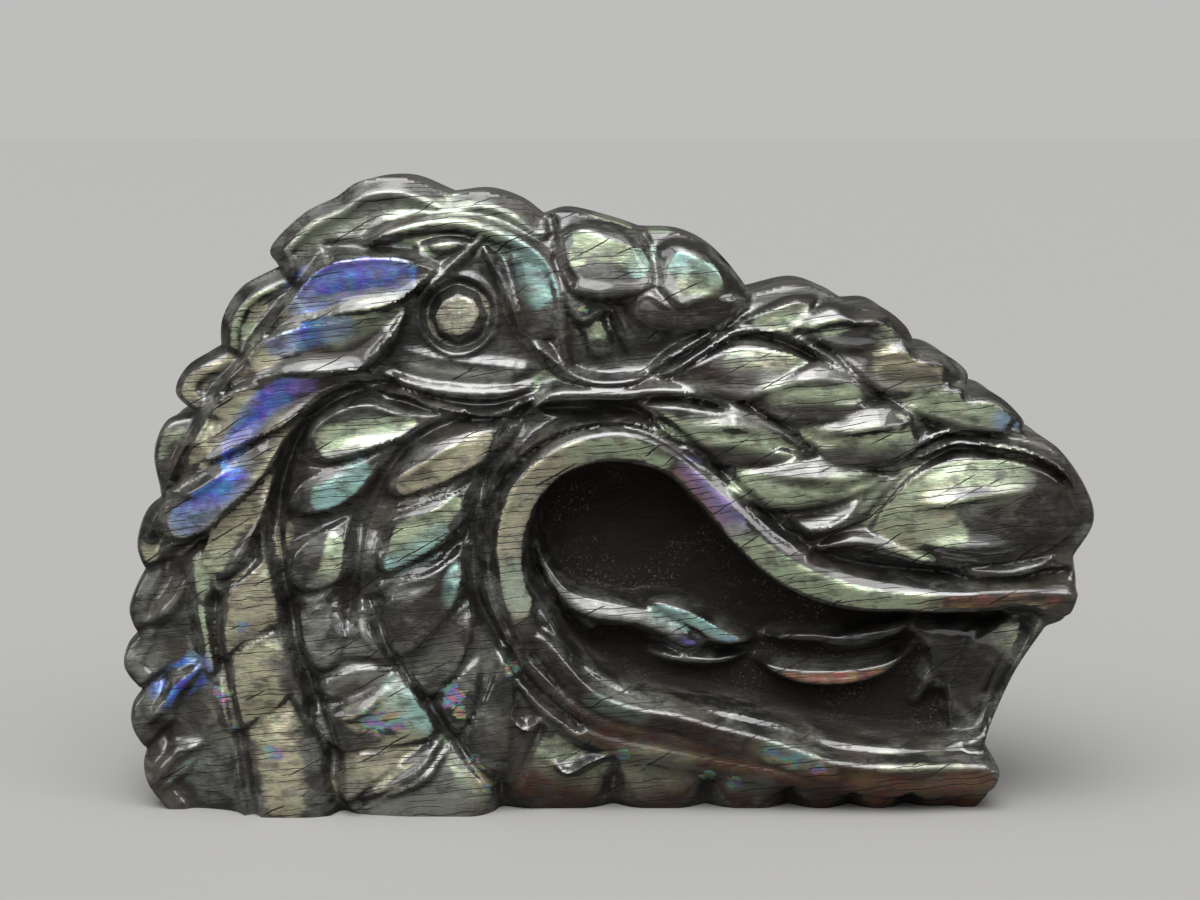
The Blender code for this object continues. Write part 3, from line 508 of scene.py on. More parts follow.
def curve(points, step=CURVE_STEP):
    """A smooth line through the points, as an array of points about a step apart."""
    given = np.reshape(points, (-1, 2)).astype(float)
    ends = np.vstack([2 * given[0] - given[1], given, 2 * given[-1] - given[-2]])
    line = []
    for before, start, end, after in zip(ends, ends[1:], ends[2:], ends[3:]):
        count = max(2, round(np.hypot(*(end - start)) / step))
        t = (np.arange(count) / count)[:, None]
        bend = 2 * before - 5 * start + 4 * end - after
        twist = 3 * start - before - 3 * end + after
        line.append(start + 0.5 * (t * (end - before) + t**2 * bend + t**3 * twist))
    return np.vstack([*line, given[-1:]])


def eased(t):
    t = np.clip(t, 0, 1)
    return t * t * (3 - 2 * t)


def along(line, at):
    """Each point's nearest place on the line, as a share of the length, and its distance, + on the left."""
    nearest = np.full(len(at), np.inf)
    share = np.zeros(len(at))
    side = np.zeros(len(at))
    lengths = np.hypot(*(line[1:] - line[:-1]).T)
    starts = np.cumsum(lengths) - lengths
    for a, b, length, start in zip(line, line[1:], lengths, starts):
        run = b - a
        t = np.clip((at - a) @ run / length**2, 0, 1)
        off = at - a - t[:, None] * run
        distance = np.hypot(off[:, 0], off[:, 1])
        closer = distance < nearest
        nearest = np.where(closer, distance, nearest)
        share = np.where(closer, (start + t * length) / lengths.sum(), share)
        side = np.where(closer, np.where(run[0] * off[:, 1] >= run[1] * off[:, 0], 1, -1), side)
    return share, side * nearest


def within(ring, at):
    """Whether each point lies inside the closed ring."""
    found = np.zeros(len(at), bool)
    for (ax, az), (bx, bz) in zip(ring, np.roll(ring, -1, axis=0)):
        if az != bz:
            crossing = ax + (at[:, 1] - az) * (bx - ax) / (bz - az)
            found ^= ((az > at[:, 1]) != (bz > at[:, 1])) & (at[:, 0] < crossing)
    return found


def near(line, at, reach=0.0):
    return ((at > line.min(axis=0) - reach) & (at < line.max(axis=0) + reach)).all(axis=1)


def spread(values, share):
    """Values given evenly along a line, read at a share of its length."""
    return np.interp(share, np.linspace(0, 1, len(values)), values)


def lower_edge(upper, lower):
    """A leaf's lower edge, with the ends that it shares with the upper unless it has its own."""
    return lower if lower[:2] == upper[:2] else (*upper[:2], *lower, *upper[-2:])


def leaf(at, upper, lower, rise, section, edging=EDGING_RISE):
    """A leaf between its two edges: it stands up by the rise, and its facets tilt as the section says."""
    height = np.zeros(len(at))
    top, bottom = curve(upper), curve(lower_edge(upper, lower))
    ring = np.vstack([top, bottom[-2:0:-1]])
    close = near(ring, at)
    spot = at[close]
    from_top = np.abs(along(top, spot)[1])
    from_bottom = np.abs(along(bottom, spot)[1])
    width = from_top + from_bottom
    held = within(ring, spot)
    if not held.any():
        return height
    shares = np.linspace(0, 1, SECTION_SAMPLES)
    slopes = np.tan(np.radians(np.interp(shares, *zip(*section))))
    climb = width * np.interp(from_top / np.maximum(width, THINNEST), shares, np.cumsum(slopes) / len(shares))
    slender = np.clip(width / (FULL_WIDTH * width[held].max()), 0, 1) ** SLENDER
    borders = np.clip(1 - np.abs(from_top / EDGING_WIDTH - 1), 0, 1)
    borders += np.clip(1 - from_bottom / EDGING_WIDTH, 0, 1)
    height[close] = np.where(held, np.maximum(rise * slender + climb + edging * borders, 0), 0)
    return height


def widths(given, points):
    """The widths at a crest's points, given as one (the ends are 0), three (start, along, end) or all."""
    if np.isscalar(given):
        given = (0, given, 0)
    if len(given) == 3:
        start, along_it, end = given
        given = (start, *[along_it] * (np.size(points) // 2 - 2), end)
    return given


def ridge(at, points, left, right, rise, left_flank=FLAT, right_flank=FLAT):
    """A crest line whose two flanks fall away over the given widths."""
    height = np.zeros(len(at))
    left, right = widths(left, points), widths(right, points)
    line = curve(points)
    reach = max(*left, *right, 0)
    close = near(line, at, reach + CREST_WIDTH)
    share, offset = along(line, at[close])
    on_left = offset > 0
    width = CREST_WIDTH + np.where(on_left, spread(left, share), spread(right, share))
    out = np.abs(offset) / width
    flank = np.where(on_left, np.interp(out, *zip(*left_flank)), np.interp(out, *zip(*right_flank)))
    slender = eased((spread(left, share) + spread(right, share)) / reach)
    height[close] = np.where(out < 1, rise * slender * flank, 0)
    return height


def highest(heights):
    return np.max(list(heights), axis=0)


def standing(at, leaves, ridges):
    """Height of whichever form stands highest."""
    return highest([*(leaf(at, *form) for form in leaves), *(ridge(at, *form) for form in ridges)])


def grooves(at):
    """Depth of the grooves between the forms, and of the creases that run in from the notches of the rim."""
    cuts = [ridge(at, line, (half,), (half,), depth, ROUND, ROUND) for line, half, depth in GROOVES]
    for bay in RIM[CREASED_BAYS]:
        notch = np.array(bay[:2], float)
        inward = (CREASE_AIM - notch) / np.hypot(*(CREASE_AIM - notch))
        crease = [notch + reach * inward for reach in CREASE_REACH]
        cuts.append(ridge(at, crease, *CREASE_WIDTHS, CREASE_DEPTH))
    half = FOOT_CREASE_WIDTHS
    for x, top in FOOT_CREASES:
        crease = (x, SAWN_FOOT - 1, x, 0.4 * top, x + 1, 1.1 * top)  # straight up, then leaning right
        cuts.append(ridge(at, crease, half, half, FOOT_CREASE_DEPTH, THIN, THIN))
    under_jaw = eased((at[:, 0] - FOOT_TUCK_START) / FOOT_TUCK_RUN)
    low = np.clip(1 - (at[:, 1] - SAWN_FOOT) / FOOT_TUCK_HEIGHT, 0, 1)
    return highest(cuts) + FOOT_TUCK * under_jaw * low**2


def eye(at):
    off = at - EYE
    distance = np.hypot(*off.T)
    turns = np.radians(22.5 + 45 * np.arange(4))
    eight_sided = np.abs(off @ np.array([np.cos(turns), np.sin(turns)])).max(axis=1)
    dome = EYE_HEIGHT * np.sqrt(np.clip(1 - (distance / EYE_RADIUS) ** 2, 0, 1))
    ball = np.minimum(dome, np.clip(EYE_FACET_SLOPE * (EYE_EDGE - eight_sided), 0, EYE_FLAT))
    lid = LID_RISE * np.clip(1 - np.abs(distance - LID_RADIUS) / LID_HALF_WIDTH, 0, 1)
    return np.maximum(ball, lid) - SOCKET_DEPTH * eased((LID_RADIUS + 1 - distance) / 2)


def rim_line():
    """The whole outline, each bay smooth and each notch a sharp corner."""
    bays = [curve((*bay, *after[:2]), OUTLINE_STEP)[:-1] for bay, after in zip(RIM, (*RIM[1:], RIM[0]))]
    return np.vstack(bays)


def nearest_of(places, at):
    """Distance from each point to the nearest of the places."""
    tree = KDTree(len(places))
    for number, (x, z) in enumerate(places):
        tree.insert((x, 0, z), number)
    tree.balance()
    return np.array([tree.find((x, 0, z))[2] for x, z in at])


def rim_distance(rim, at):
    """Distance from the rim, leaving out the sawn foot."""
    return nearest_of(curve(rim[rim[:, 1] > SAWN_FOOT + 0.1], RIM_SAMPLE), at)


def crest_places(rim, step):
    """Points along every edge and crest, so that the facets follow them."""
    lines = []
    for upper, lower, *_ in (*LEAVES, *FACETS, *MOUTH_LEAVES):
        lines += [upper, lower_edge(upper, lower)]
    lines += [line for line, *_ in (*RIDGES, *MOUTH_RIDGES)]
    places = np.vstack([curve(line, step) for line in lines])
    _, first = np.unique(np.round(places / (CREST_MERGE * step)), axis=0, return_index=True)
    places = places[np.sort(first)]
    places = places[within(rim, places) & (places[:, 1] > rim[:, 1].min() + step)]
    return places[rim_distance(rim, places) > step]


def body(at, from_rim):
    """The uncarved body: a bevel round the rim, a flat band for the fins, then a swell to the middle."""
    height = at[:, 1]
    rim_depth = RIM_DEPTH_HIGH + (RIM_DEPTH_LOW - RIM_DEPTH_HIGH) * eased(1 - height / RIM_CHANGE_HEIGHT)
    widening = eased((height - BEVEL_CHANGE[0]) / (BEVEL_CHANGE[1] - BEVEL_CHANGE[0]))
    bevel_width = BEVEL_WIDTH_LOW + (BEVEL_WIDTH_HIGH - BEVEL_WIDTH_LOW) * widening
    bevel = BEVEL_RISE * np.clip(from_rim / bevel_width, 0, 1)
    swell = eased((from_rim - FIN_WIDTH) / (BODY_ROUNDING - FIN_WIDTH))
    return rim_depth + bevel + (BODY_DEPTH - rim_depth - BEVEL_RISE) * swell


def mouth_share(at):
    """0 outside the mouth, 1 over its floor, and between on its wall."""
    edge = curve((*MOUTH, *MOUTH[:2]))
    depth = np.where(within(edge[:-1], at), 1, -1) * np.abs(along(edge, at)[1])
    return eased(depth / MOUTH_WALL)


def neighbours(field):
    padded = np.pad(field, 1, mode="edge")
    return padded[:-2, 1:-1], padded[2:, 1:-1], padded[1:-1, :-2], padded[1:-1, 2:]


def halved(field):
    """The field at half its fineness: the sum over each block of two by two cells."""
    rows, columns = (count + count % 2 for count in field.shape)
    padded = np.pad(field, ((0, rows - field.shape[0]), (0, columns - field.shape[1])))
    return padded.reshape(rows // 2, 2, columns // 2, 2).sum(axis=(1, 3))


def stretched(height, held):
    """The heights of the held cells, and between them a skin stretched from edge to edge."""
    if min(height.shape) < COARSEST_SKIN:
        return np.where(held, height, (height * held).sum() / max(held.sum(), 1))
    counts, sums = halved(held.astype(float)), halved(height * held)
    coarse = stretched(sums / np.maximum(counts, 1), counts > 0)
    guess = coarse.repeat(2, axis=0).repeat(2, axis=1)[: height.shape[0], : height.shape[1]]
    field = np.where(held, height, guess)
    for _ in range(SKIN_ROUNDS):
        field = np.where(held, height, sum(neighbours(field)) / 4)
    return field


def reached(held, step, most):
    """How far each cell lies from the held cells, up to a limit."""
    distance = np.where(held, 0.0, most)
    for _ in range(math.ceil(most / step)):
        distance = np.minimum(distance, np.min(neighbours(distance), axis=0) + step)
    return distance


def softened(field, times):
    """The field blurred along both axes, so that crests and creases are polished rather than jagged."""
    for _ in range(times):
        padded = np.pad(field, 1, mode="edge")
        field = (padded[:-2] + 2 * padded[1:-1] + padded[2:]) / 4
        field = (field[:, :-2] + 2 * field[:, 1:-1] + field[:, 2:]) / 4
    return field


def carved(at, from_rim, shape, step, relief):
    """Depth of one side from the middle plane at each (x, z) of a grid, and how rough and hollow it is."""

    def polished(heights, times):
        return softened(heights.reshape(shape), times).ravel()

    raised = standing(at, LEAVES, RIDGES)
    held = ((raised > FORM_RISE) | (from_rim < FIN_WIDTH)).reshape(shape)
    gap = reached(held, step, GAP_REACH).ravel()
    raised = stretched(raised.reshape(shape), held).ravel()
    raised -= GAP_DEPTH * (1 - np.exp(-gap / GAP_REACH * GAP_FALL))
    raised += polished(highest(leaf(at, *facet, 0, BLADE, 0) for facet in FACETS), FACET_POLISH)
    sunk = grooves(at)
    ground = body(at, from_rim)
    surface = ground + relief * (raised - sunk + eye(at))
    inner = polished(standing(at, MOUTH_LEAVES, MOUTH_RIDGES), MOUTH_POLISH)
    opening = mouth_share(at)
    depth = surface + opening * relief * (np.minimum(MOUTH_FLOOR + inner, ground) - surface)
    rough = np.maximum(sunk / ROUGH_DEPTH, ROUGH_GAP * gap / GAP_REACH) - ROUGH_FROM
    hollow = opening * eased((POLISHED_RISE - inner) / POLISHED_RISE)
    return depth, np.clip(rough, 0, 1) * (1 - opening), hollow


def flash_and_painted_light_of(at, facing, colours):
    """Colour and strength of the flash at each (x, z), the painted sheen, highlights and shade included: only
    faces that look nearly straight out flash.
    """
    total = np.zeros((len(at), 3))
    weights = np.zeros(len(at))
    clear = np.ones(len(at))
    for name, flashes in FLASHES_AND_PAINTED_LIGHT.items():
        for half_width, strength, *points in flashes:
            line = curve(points)
            close = near(line, at, FLASH_REACH * half_width)
            out = np.abs(along(line, at[close])[1]) / half_width
            weight = strength * eased((FLASH_REACH - out) / (FLASH_REACH - FLASH_CORE))
            total[close] += weight[:, None] * colours[name]
            weights[close] += weight
            clear[close] *= 1 - np.clip(weight, 0, 1)
    facing = facing + FLASH_LEEWAY * np.clip(weights - 1, 0, 1)
    strength = (1 - clear) * eased((facing - FLASH_FACING[0]) / (FLASH_FACING[1] - FLASH_FACING[0]))
    return np.column_stack([total / np.maximum(weights, 1e-6)[:, None], strength])


def opal_of(at):
    """Share of opal fire at each (x, z)."""
    return highest(eased(OPAL_REACH - np.hypot(*(at - (x, z)).T) / radius) for x, z, radius in OPALS)


def carved_fields(rim, relief, step):
    """Depth, roughness, hollow and facing of one side, each on a fine grid over the slab."""
    low, high = rim.min(axis=0) - step, rim.max(axis=0) + step
    x, z = np.meshgrid(np.arange(low[0], high[0], step), np.arange(low[1], high[1], step))
    at = np.column_stack([x.ravel(), z.ravel()])
    inside = np.where(within(rim, at), 1, -1)
    depth, rough, hollow = carved(at, inside * rim_distance(rim, at), x.shape, step, relief)
    depth = softened(depth.reshape(x.shape), POLISH)
    climb, lean = np.gradient(softened(depth, FACING_POLISH), step)
    facing = 1 / np.sqrt(1 + climb**2 + lean**2)
    finishes = [softened(field.reshape(x.shape), POLISH) for field in (rough, hollow, facing)]
    return low, step, [depth, *finishes]


def read_fields(low, step, fields, at):
    """The fields at each (x, z), blended between the grid's four nearest places."""
    place = (at - low) / step
    column = np.clip(place[:, 0].astype(int), 0, fields[0].shape[1] - 2)
    row = np.clip(place[:, 1].astype(int), 0, fields[0].shape[0] - 2)
    right, up = place[:, 0] - column, place[:, 1] - row
    return [
        (field[row, column] * (1 - right) + field[row, column + 1] * right) * (1 - up)
        + (field[row + 1, column] * (1 - right) + field[row + 1, column + 1] * right) * up
        for field in fields
    ]


def cut_sheet(name, rim, step, relief, facing, colours):
    """One side of the stone: the outline filled with triangles, then carved."""
    low, high = rim.min(axis=0), rim.max(axis=0)
    x, z = np.meshgrid(np.arange(low[0], high[0], step), np.arange(low[1], high[1], step * math.sqrt(3) / 2))
    x[::2] += step / 2
    fill = np.column_stack([x.ravel(), z.ravel()])
    fill = fill[within(rim, fill) & (fill[:, 1] > low[1] + step / 2)]
    fill = fill[rim_distance(rim, fill) > POINT_CLEARANCE * step]
    crests = crest_places(rim, CREST_SPACING * step)
    fill = fill[nearest_of(crests, fill) > POINT_CLEARANCE * step]
    points = [tuple(point) for point in np.vstack([rim, crests, fill])]
    places, _, faces, *_ = delaunay_2d_cdt(points, [], [range(len(rim))], 1, 1e-4)
    at = np.array([(px, pz) for px, pz in places])
    depth, rough, hollow, square = read_fields(*carved_fields(rim, relief, step / 2), at)
    mesh = bpy.data.meshes.new(name)
    mesh.from_pydata(np.column_stack([at[:, 0], facing * depth, at[:, 1]]) * MM, [], faces)
    for label, values in (("rough", rough), ("hollow", hollow), ("opal", relief * opal_of(at))):
        mesh.attributes.new(label, "FLOAT", "POINT").data.foreach_set("value", values)
    # The flash colours carry a painted sheen, painted highlights and painted shade besides the stone's own
    # flashes
    flash = mesh.attributes.new("flash", "FLOAT_COLOR", "POINT")
    flash.data.foreach_set("color", flash_and_painted_light_of(at, square, colours).ravel())
    side = bpy.data.objects.new(name, mesh)
    bpy.context.scene.collection.objects.link(side)
    return side


def select_only(*chosen):
    bpy.ops.object.select_all(action="DESELECT")
    for item in chosen:
        item.select_set(True)
    bpy.context.view_layer.objects.active = chosen[0]


def join_sides(front, back):
    """Front and back joined round the rim by the sawn edge of the slab, and sawn flat underneath."""
    select_only(front, back)
    bpy.ops.object.join()
    bpy.ops.object.mode_set(mode="EDIT")
    bpy.ops.mesh.select_mode(type="EDGE")
    bpy.ops.mesh.select_all(action="DESELECT")
    bpy.ops.mesh.select_non_manifold()
    bpy.ops.mesh.bridge_edge_loops(number_cuts=EDGE_CUTS)
    bpy.ops.mesh.select_all(action="SELECT")
    bpy.ops.mesh.bisect(plane_co=(0, 0, 0), plane_no=(0, 0, -1), use_fill=True, clear_outer=True)
    bpy.ops.mesh.select_all(action="SELECT")
    bpy.ops.mesh.quads_convert_to_tris()
    bpy.ops.mesh.normals_make_consistent(inside=False)
    bpy.ops.object.mode_set(mode="OBJECT")
    return front


def fit_to_box(stone):
    """The finished stone takes up the CAD node's own box."""
    places = np.empty(3 * len(stone.data.vertices))
    stone.data.vertices.foreach_get("co", places)
    places = places.reshape(-1, 3)
    low, high = places.min(axis=0), places.max(axis=0)
    places = LOW * MM + (places - low) * (HIGH - LOW) * MM / (high - low)
    stone.data.vertices.foreach_set("co", places.ravel())
    stone.data.update()


class NodeBench:
    """Adds nodes to a tree and joins them up: an input is given either a value or another node's output."""

    def __init__(self, tree):
        self.tree = tree

    def fill(self, node, inputs):
        for name, value in inputs.items():
            if isinstance(value, bpy.types.NodeSocket):
                self.tree.links.new(value, node.inputs[name])
            else:
                node.inputs[name].default_value = value

    def add(self, kind, inputs=None, output=0, **settings):
        made = self.tree.nodes.new("ShaderNode" + kind)
        for name, value in settings.items():
            setattr(made, name, value)
        self.fill(made, inputs or {})
        return made.outputs[output]

    def math(self, operation, first, second=0.0, third=0.0, clamp=False):
        return self.add("Math", {0: first, 1: second, 2: third}, operation=operation, use_clamp=clamp)

    def times(self, first, second, clamp=False):
        return self.math("MULTIPLY", first, second, clamp=clamp)

    def times_plus(self, first, second, third, clamp=False):
        return self.math("MULTIPLY_ADD", first, second, third, clamp)

    def rest(self, share, clamp=False):
        """What a share leaves of the whole."""
        return self.math("SUBTRACT", 1.0, share, clamp=clamp)

    def most(self, first, second):
        return self.math("MAXIMUM", first, second)

    def mix(self, share, first, second):
        return self.add("Mix", {0: share, 6: first, 7: second}, output=2, data_type="RGBA")

    def between(self, value, low, high, to_low=0.0, to_high=1.0):
        span = {"Value": value, "From Min": low, "From Max": high, "To Min": to_low, "To Max": to_high}
        return self.add("MapRange", span, interpolation_type="SMOOTHSTEP")

    def grain(self, place, scale, stretch=(1, 1, 1), turn=(0, 0, 0), detail=3.0, distortion=0.0, crisp=0.5):
        """Noise in millimetres: scale is the size of its lumps, stretch how far each axis is drawn out."""
        sized = tuple(1 / (MM * scale * share) for share in stretch)
        mapped = self.add("Mapping", {"Vector": place, "Rotation": turn, "Scale": sized})
        settings = {"Scale": 1.0, "Detail": detail, "Distortion": distortion, "Roughness": crisp}
        return self.add("TexNoise", {"Vector": mapped, **settings})


def node_group(name, wanted, given):
    """A shader node group with number inputs (name: default) and outputs (name: kind of socket)."""
    tree = bpy.data.node_groups.new(name, "ShaderNodeTree")
    for label, default in wanted.items():
        socket = tree.interface.new_socket(name=label, in_out="INPUT", socket_type="NodeSocketFloat")
        socket.default_value = default
    for label, kind in given.items():
        tree.interface.new_socket(name=label, in_out="OUTPUT", socket_type=kind)
    bench = NodeBench(tree)
    place = bench.add("TexCoord", output="Object")
    return bench, place, tree.nodes.new("NodeGroupInput").outputs, tree.nodes.new("NodeGroupOutput")


def lamella_group():
    """Fine cracks along the stone's layers: nearly level lines, broken here and there, rising rightwards."""
    bench, place, source, sink = node_group(
        "Lamella cracks",
        {"Spacing": 2.0, "Rise": math.radians(6), "Width": 0.09, "Broken": 0.47},
        {"Cracks": "NodeSocketFloat", "Layers": "NodeSocketFloat"},
    )
    turned = bench.add("VectorRotate", {"Vector": place, "Angle": source["Rise"]}, rotation_type="Y_AXIS")
    split = bench.add("SeparateXYZ", {0: turned}).node.outputs
    wobble = bench.grain(place, 12)
    level = bench.times_plus(wobble, CRACK_WOBBLE * MM, split["Z"])
    level = bench.times_plus(split["Y"], CRACK_DIP, level)
    level = bench.math("DIVIDE", bench.math("DIVIDE", level, MM), source["Spacing"])
    level_cells = {"voronoi_dimensions": "1D", "feature": "DISTANCE_TO_EDGE"}
    edge = bench.add("TexVoronoi", {"W": level, "Scale": 1.0}, **level_cells)
    line = bench.rest(bench.math("DIVIDE", edge, source["Width"], clamp=True))
    line = bench.times(line, CRACK_CONTRAST, clamp=True)
    broken = bench.grain(turned, 8, stretch=(2.5, 1, 0.3), detail=2.0)
    mask = bench.between(broken, source["Broken"], bench.math("ADD", source["Broken"], CRACK_FADE))
    band = bench.add("TexNoise", {"W": level, "Scale": 0.9, "Detail": 4.0}, noise_dimensions="1D")
    bench.fill(sink, {"Cracks": bench.times(line, mask), "Layers": band})
    return bench.tree


def opal_group():
    """Opal fire: small patches of many hues, and a mask of where they show."""
    bench, place, source, sink = node_group(
        "Opal fire", {"Share": 0.0}, {"Colour": "NodeSocketColor", "Mask": "NodeSocketFloat"}
    )
    swirl = bench.grain(place, 4, stretch=(1.6, 1, 0.8), detail=2.0, distortion=0.5)
    hue = bench.math("FRACT", bench.times(swirl, 3.0))
    fire = bench.add("CombineColor", {0: hue, 1: 0.6, 2: 0.26}, mode="HSV")
    patchy = bench.grain(place, 3, stretch=(1.6, 1, 0.7), detail=5.0, crisp=0.6)
    ragged = bench.times_plus(source["Share"], 0.3, patchy)
    mask = bench.times(bench.between(ragged, 0.64, 0.78), bench.between(source["Share"], 0.1, 0.5))
    bench.fill(sink, {"Colour": fire, "Mask": mask})
    return bench.tree


def tool_mark_group():
    """Short tool marks and grit left where the polishing wheel did not reach."""
    bench, place, _, sink = node_group("Tool marks", {}, {"Marks": "NodeSocketFloat"})
    fine = bench.grain(place, 1.2, stretch=(3.5, 3.5, 0.6), turn=(0, 0.9, 0), detail=4.0)
    cross = bench.grain(place, 1.4, stretch=(0.6, 3.5, 3.5), turn=(0, 0.4, 0), detail=4.0)
    bench.fill(sink, {"Marks": bench.most(fine, cross)})
    return bench.tree


def labradorite(colours):
    """Polished labradorite: nearly black, with layered cracks, flashes (a painted sheen, painted highlights
    and painted shade among them), rough grooves and a dull hollow.
    """
    stone = bpy.data.materials.new(SLOT)
    stone.use_nodes = True
    bench = NodeBench(stone.node_tree)
    times, times_plus, rest = bench.times, bench.times_plus, bench.rest
    between, grain = bench.between, bench.grain
    place = bench.add("TexCoord", output="Object")
    rough, hollow, opal_share = (
        bench.add("Attribute", attribute_name=name, output="Fac") for name in ("rough", "hollow", "opal")
    )
    # The flash attribute carries a painted sheen, painted highlights and painted shade besides the real
    # flashes
    flash = bench.add("Attribute", attribute_name="flash", output="Color")
    flash_and_painted_light_share = flash.node.outputs["Alpha"]

    lamellae = lamella_group()
    steep_cracks = {"Spacing": 7.0, "Rise": math.radians(30), "Width": 0.04, "Broken": 0.53}
    hair_cracks = {"Spacing": 0.8, "Rise": math.radians(5), "Width": 0.3, "Broken": 0.47}
    level = bench.add("Group", node_tree=lamellae)
    steep = bench.add("Group", steep_cracks, node_tree=lamellae)
    hairs = bench.add("Group", hair_cracks, node_tree=lamellae)
    marks = bench.add("Group", node_tree=tool_mark_group())
    cracks = bench.most(bench.most(level, steep), times(hairs, 0.2))
    tilt = (0, math.radians(-6), 0)

    cloud = grain(place, 11, stretch=(1.4, 1, 0.8), turn=tilt, detail=8.0, distortion=0.4, crisp=0.6)
    grainy = grain(place, 0.9, stretch=(1.8, 1, 0.7), turn=tilt, detail=5.0, crisp=0.7)
    light = times(between(cloud, 0.42, 0.66), between(grainy, 0.36, 0.62, 0.4))
    ground = bench.mix(light, colours["ground"], colours["ground_light"])
    brown = grain(place, 16, detail=8.0, crisp=0.6)
    ground = bench.mix(between(brown, 0.5, 0.62, 0, 0.6), ground, colours["brown"])

    streak = grain(place, 1.3, stretch=(3, 1, 0.5), turn=tilt, detail=6.0, crisp=0.65)
    patch = grain(place, 5, stretch=(1.3, 1, 0.8), turn=tilt, detail=8.0, crisp=0.6)
    shimmer = times(between(streak, 0.38, 0.58, 0.65), between(patch, 0.36, 0.54, 0.3))
    shimmer = times(shimmer, between(level.node.outputs["Layers"], 0.38, 0.5, 0.75))
    edge = grain(place, 6, stretch=(1.6, 1, 0.8), turn=tilt, detail=5.0, distortion=0.6)
    ragged = times_plus(edge, 1.4, times_plus(streak, 0.6, flash_and_painted_light_share))
    domain = times(between(ragged, 1.1, 1.7), between(flash_and_painted_light_share, 0.0, 0.4))
    shine = times(shimmer, domain, clamp=True)
    shine = times(times(shine, rest(cracks)), rest(hollow, clamp=True))
    hue = times_plus(grain(place, 4, detail=4.0), 0.26, 0.37)
    tinted = bench.add("HueSaturation", {"Hue": hue, "Saturation": 1.2, "Color": flash})
    # Here the flashes, with their painted sheen, painted highlights and painted shade, are laid over the
    # ground
    colour = bench.mix(shine, ground, tinted)
    opal = bench.add("Group", {"Share": opal_share}, node_tree=opal_group())
    fire = times(opal.node.outputs["Mask"], rest(cracks))
    colour = bench.mix(times(fire, 0.8), colour, opal)
    colour = bench.mix(times(cracks, 0.9), colour, colours["crack"])
    worn = times(rough, between(marks, 0.45, 0.7, 0.3), clamp=True)
    colour = bench.mix(times(worn, 0.75), colour, colours["dust"])
    speck = grain(place, 0.8, detail=5.0, crisp=0.6)
    mottle = grain(place, 12, detail=4.0)
    specks = times(between(speck, 0.56, 0.68), between(mottle, 0.42, 0.62))
    pit = bench.mix(specks, colours["hollow"], colours["speck"])
    colour = bench.mix(times(hollow, 0.96), colour, pit)

    roughness = times_plus(cracks, 0.3, times_plus(worn, 0.3, STONE_ROUGHNESS))
    roughness = times_plus(hollow, 0.4, roughness, clamp=True)
    unpolished = bench.most(cracks, bench.most(worn, hollow))
    wave = grain(place, 5, stretch=(1.6, 1, 0.8), turn=tilt, detail=5.0)
    height = times_plus(grainy, 0.24, times(wave, 0.9))
    height = times_plus(cracks, -0.12, height)
    height = bench.math("ADD", height, times(marks, times(worn, 0.6)))
    height = times_plus(times(speck, hollow), 0.9, height)
    finish = {
        "Base Color": colour,
        "Metallic": times(shine, FLASH_METAL),
        "Roughness": roughness,
        "IOR": STONE_IOR,
        "Specular IOR Level": STONE_SPECULAR,
        "Coat Weight": rest(unpolished, clamp=True),
        "Coat Roughness": COAT_ROUGHNESS,
        "Coat IOR": COAT_IOR,
        "Normal": bench.add("Bump", {"Height": height, "Strength": BUMP_STRENGTH, "Distance": MM}),
    }
    bench.fill(stone.node_tree.nodes["Principled BSDF"], finish)
    return stone


class StoneColours(bpy.types.PropertyGroup):
    """Colours of the labradorite and of its flashes, among them a painted sheen, painted highlights and
    painted shade.
    """

    def shade(name, description, default):
        return FloatVectorProperty(
            name=name, description=description, default=default, subtype="COLOR", min=0, max=1
        )

    ground: shade("Ground", "Stone that doesn't flash", (0.007, 0.0068, 0.006))
    ground_light: shade("Light ground", "Clouds in the ground", (0.095, 0.095, 0.082))
    brown: shade("Brown", "Brown clouds", (0.036, 0.028, 0.021))
    crack: shade("Cracks", "Cracks along the layers", (0.004, 0.003, 0.0025))
    dust: shade("Dust", "Unpolished bottoms of the grooves", (0.023, 0.021, 0.018))
    hollow: shade("Hollow", "Inside of the mouth", (0.0085, 0.0062, 0.0048))
    speck: shade("Specks", "Grit inside the mouth", (0.11, 0.085, 0.06))
    blue: shade("Blue", "Blue flash", (0.13, 0.20, 0.50))
    violet: shade("Violet", "Violet flash", (0.25, 0.22, 0.50))
    cyan: shade("Cyan", "Cyan flash", (0.28, 0.43, 0.40))
    green: shade("Green", "Green flash", (0.37, 0.42, 0.30))
    gold: shade("Gold", "Gold flash", (0.36, 0.345, 0.25))
    copper: shade("Copper", "Copper and pink flash", (0.27, 0.15, 0.10))
    # Dark brown stone, partly painted shade in valleys and along the lower parts of leaves
    dark_brown_and_painted_shade: shade("Dark brown (partly painted shade)", "Dark brown stone", (0.016, 0.011, 0.009))
    # A painted grey sheen standing in for the lights' reflection on facets
    painted_sheen: shade("Sheen (painted)", "Milky grey flash", (0.17, 0.175, 0.155))
    # Painted highlights on the eye, the ring's edge and a horn's tip
    pale: shade("Pale", "Pale flash of the eye and the brightest facets", (0.50, 0.48, 0.39))
    chestnut: shade("Chestnut", "Warm brown stone of the jaw", (0.048, 0.022, 0.012))


class CarvingSizes(bpy.types.PropertyGroup):
    """Sizes of the carving."""

    front_step: FloatProperty(
        name="Front step", description="Size of the facets on the front", default=0.8 * MM, unit="LENGTH"
    )
    back_step: FloatProperty(
        name="Back step", description="Size of the facets on the back", default=2.7 * MM, unit="LENGTH"
    )
    back_relief: FloatProperty(
        name="Back relief", description="Relief of the back, as a share", default=0.75, min=0, max=1
    )


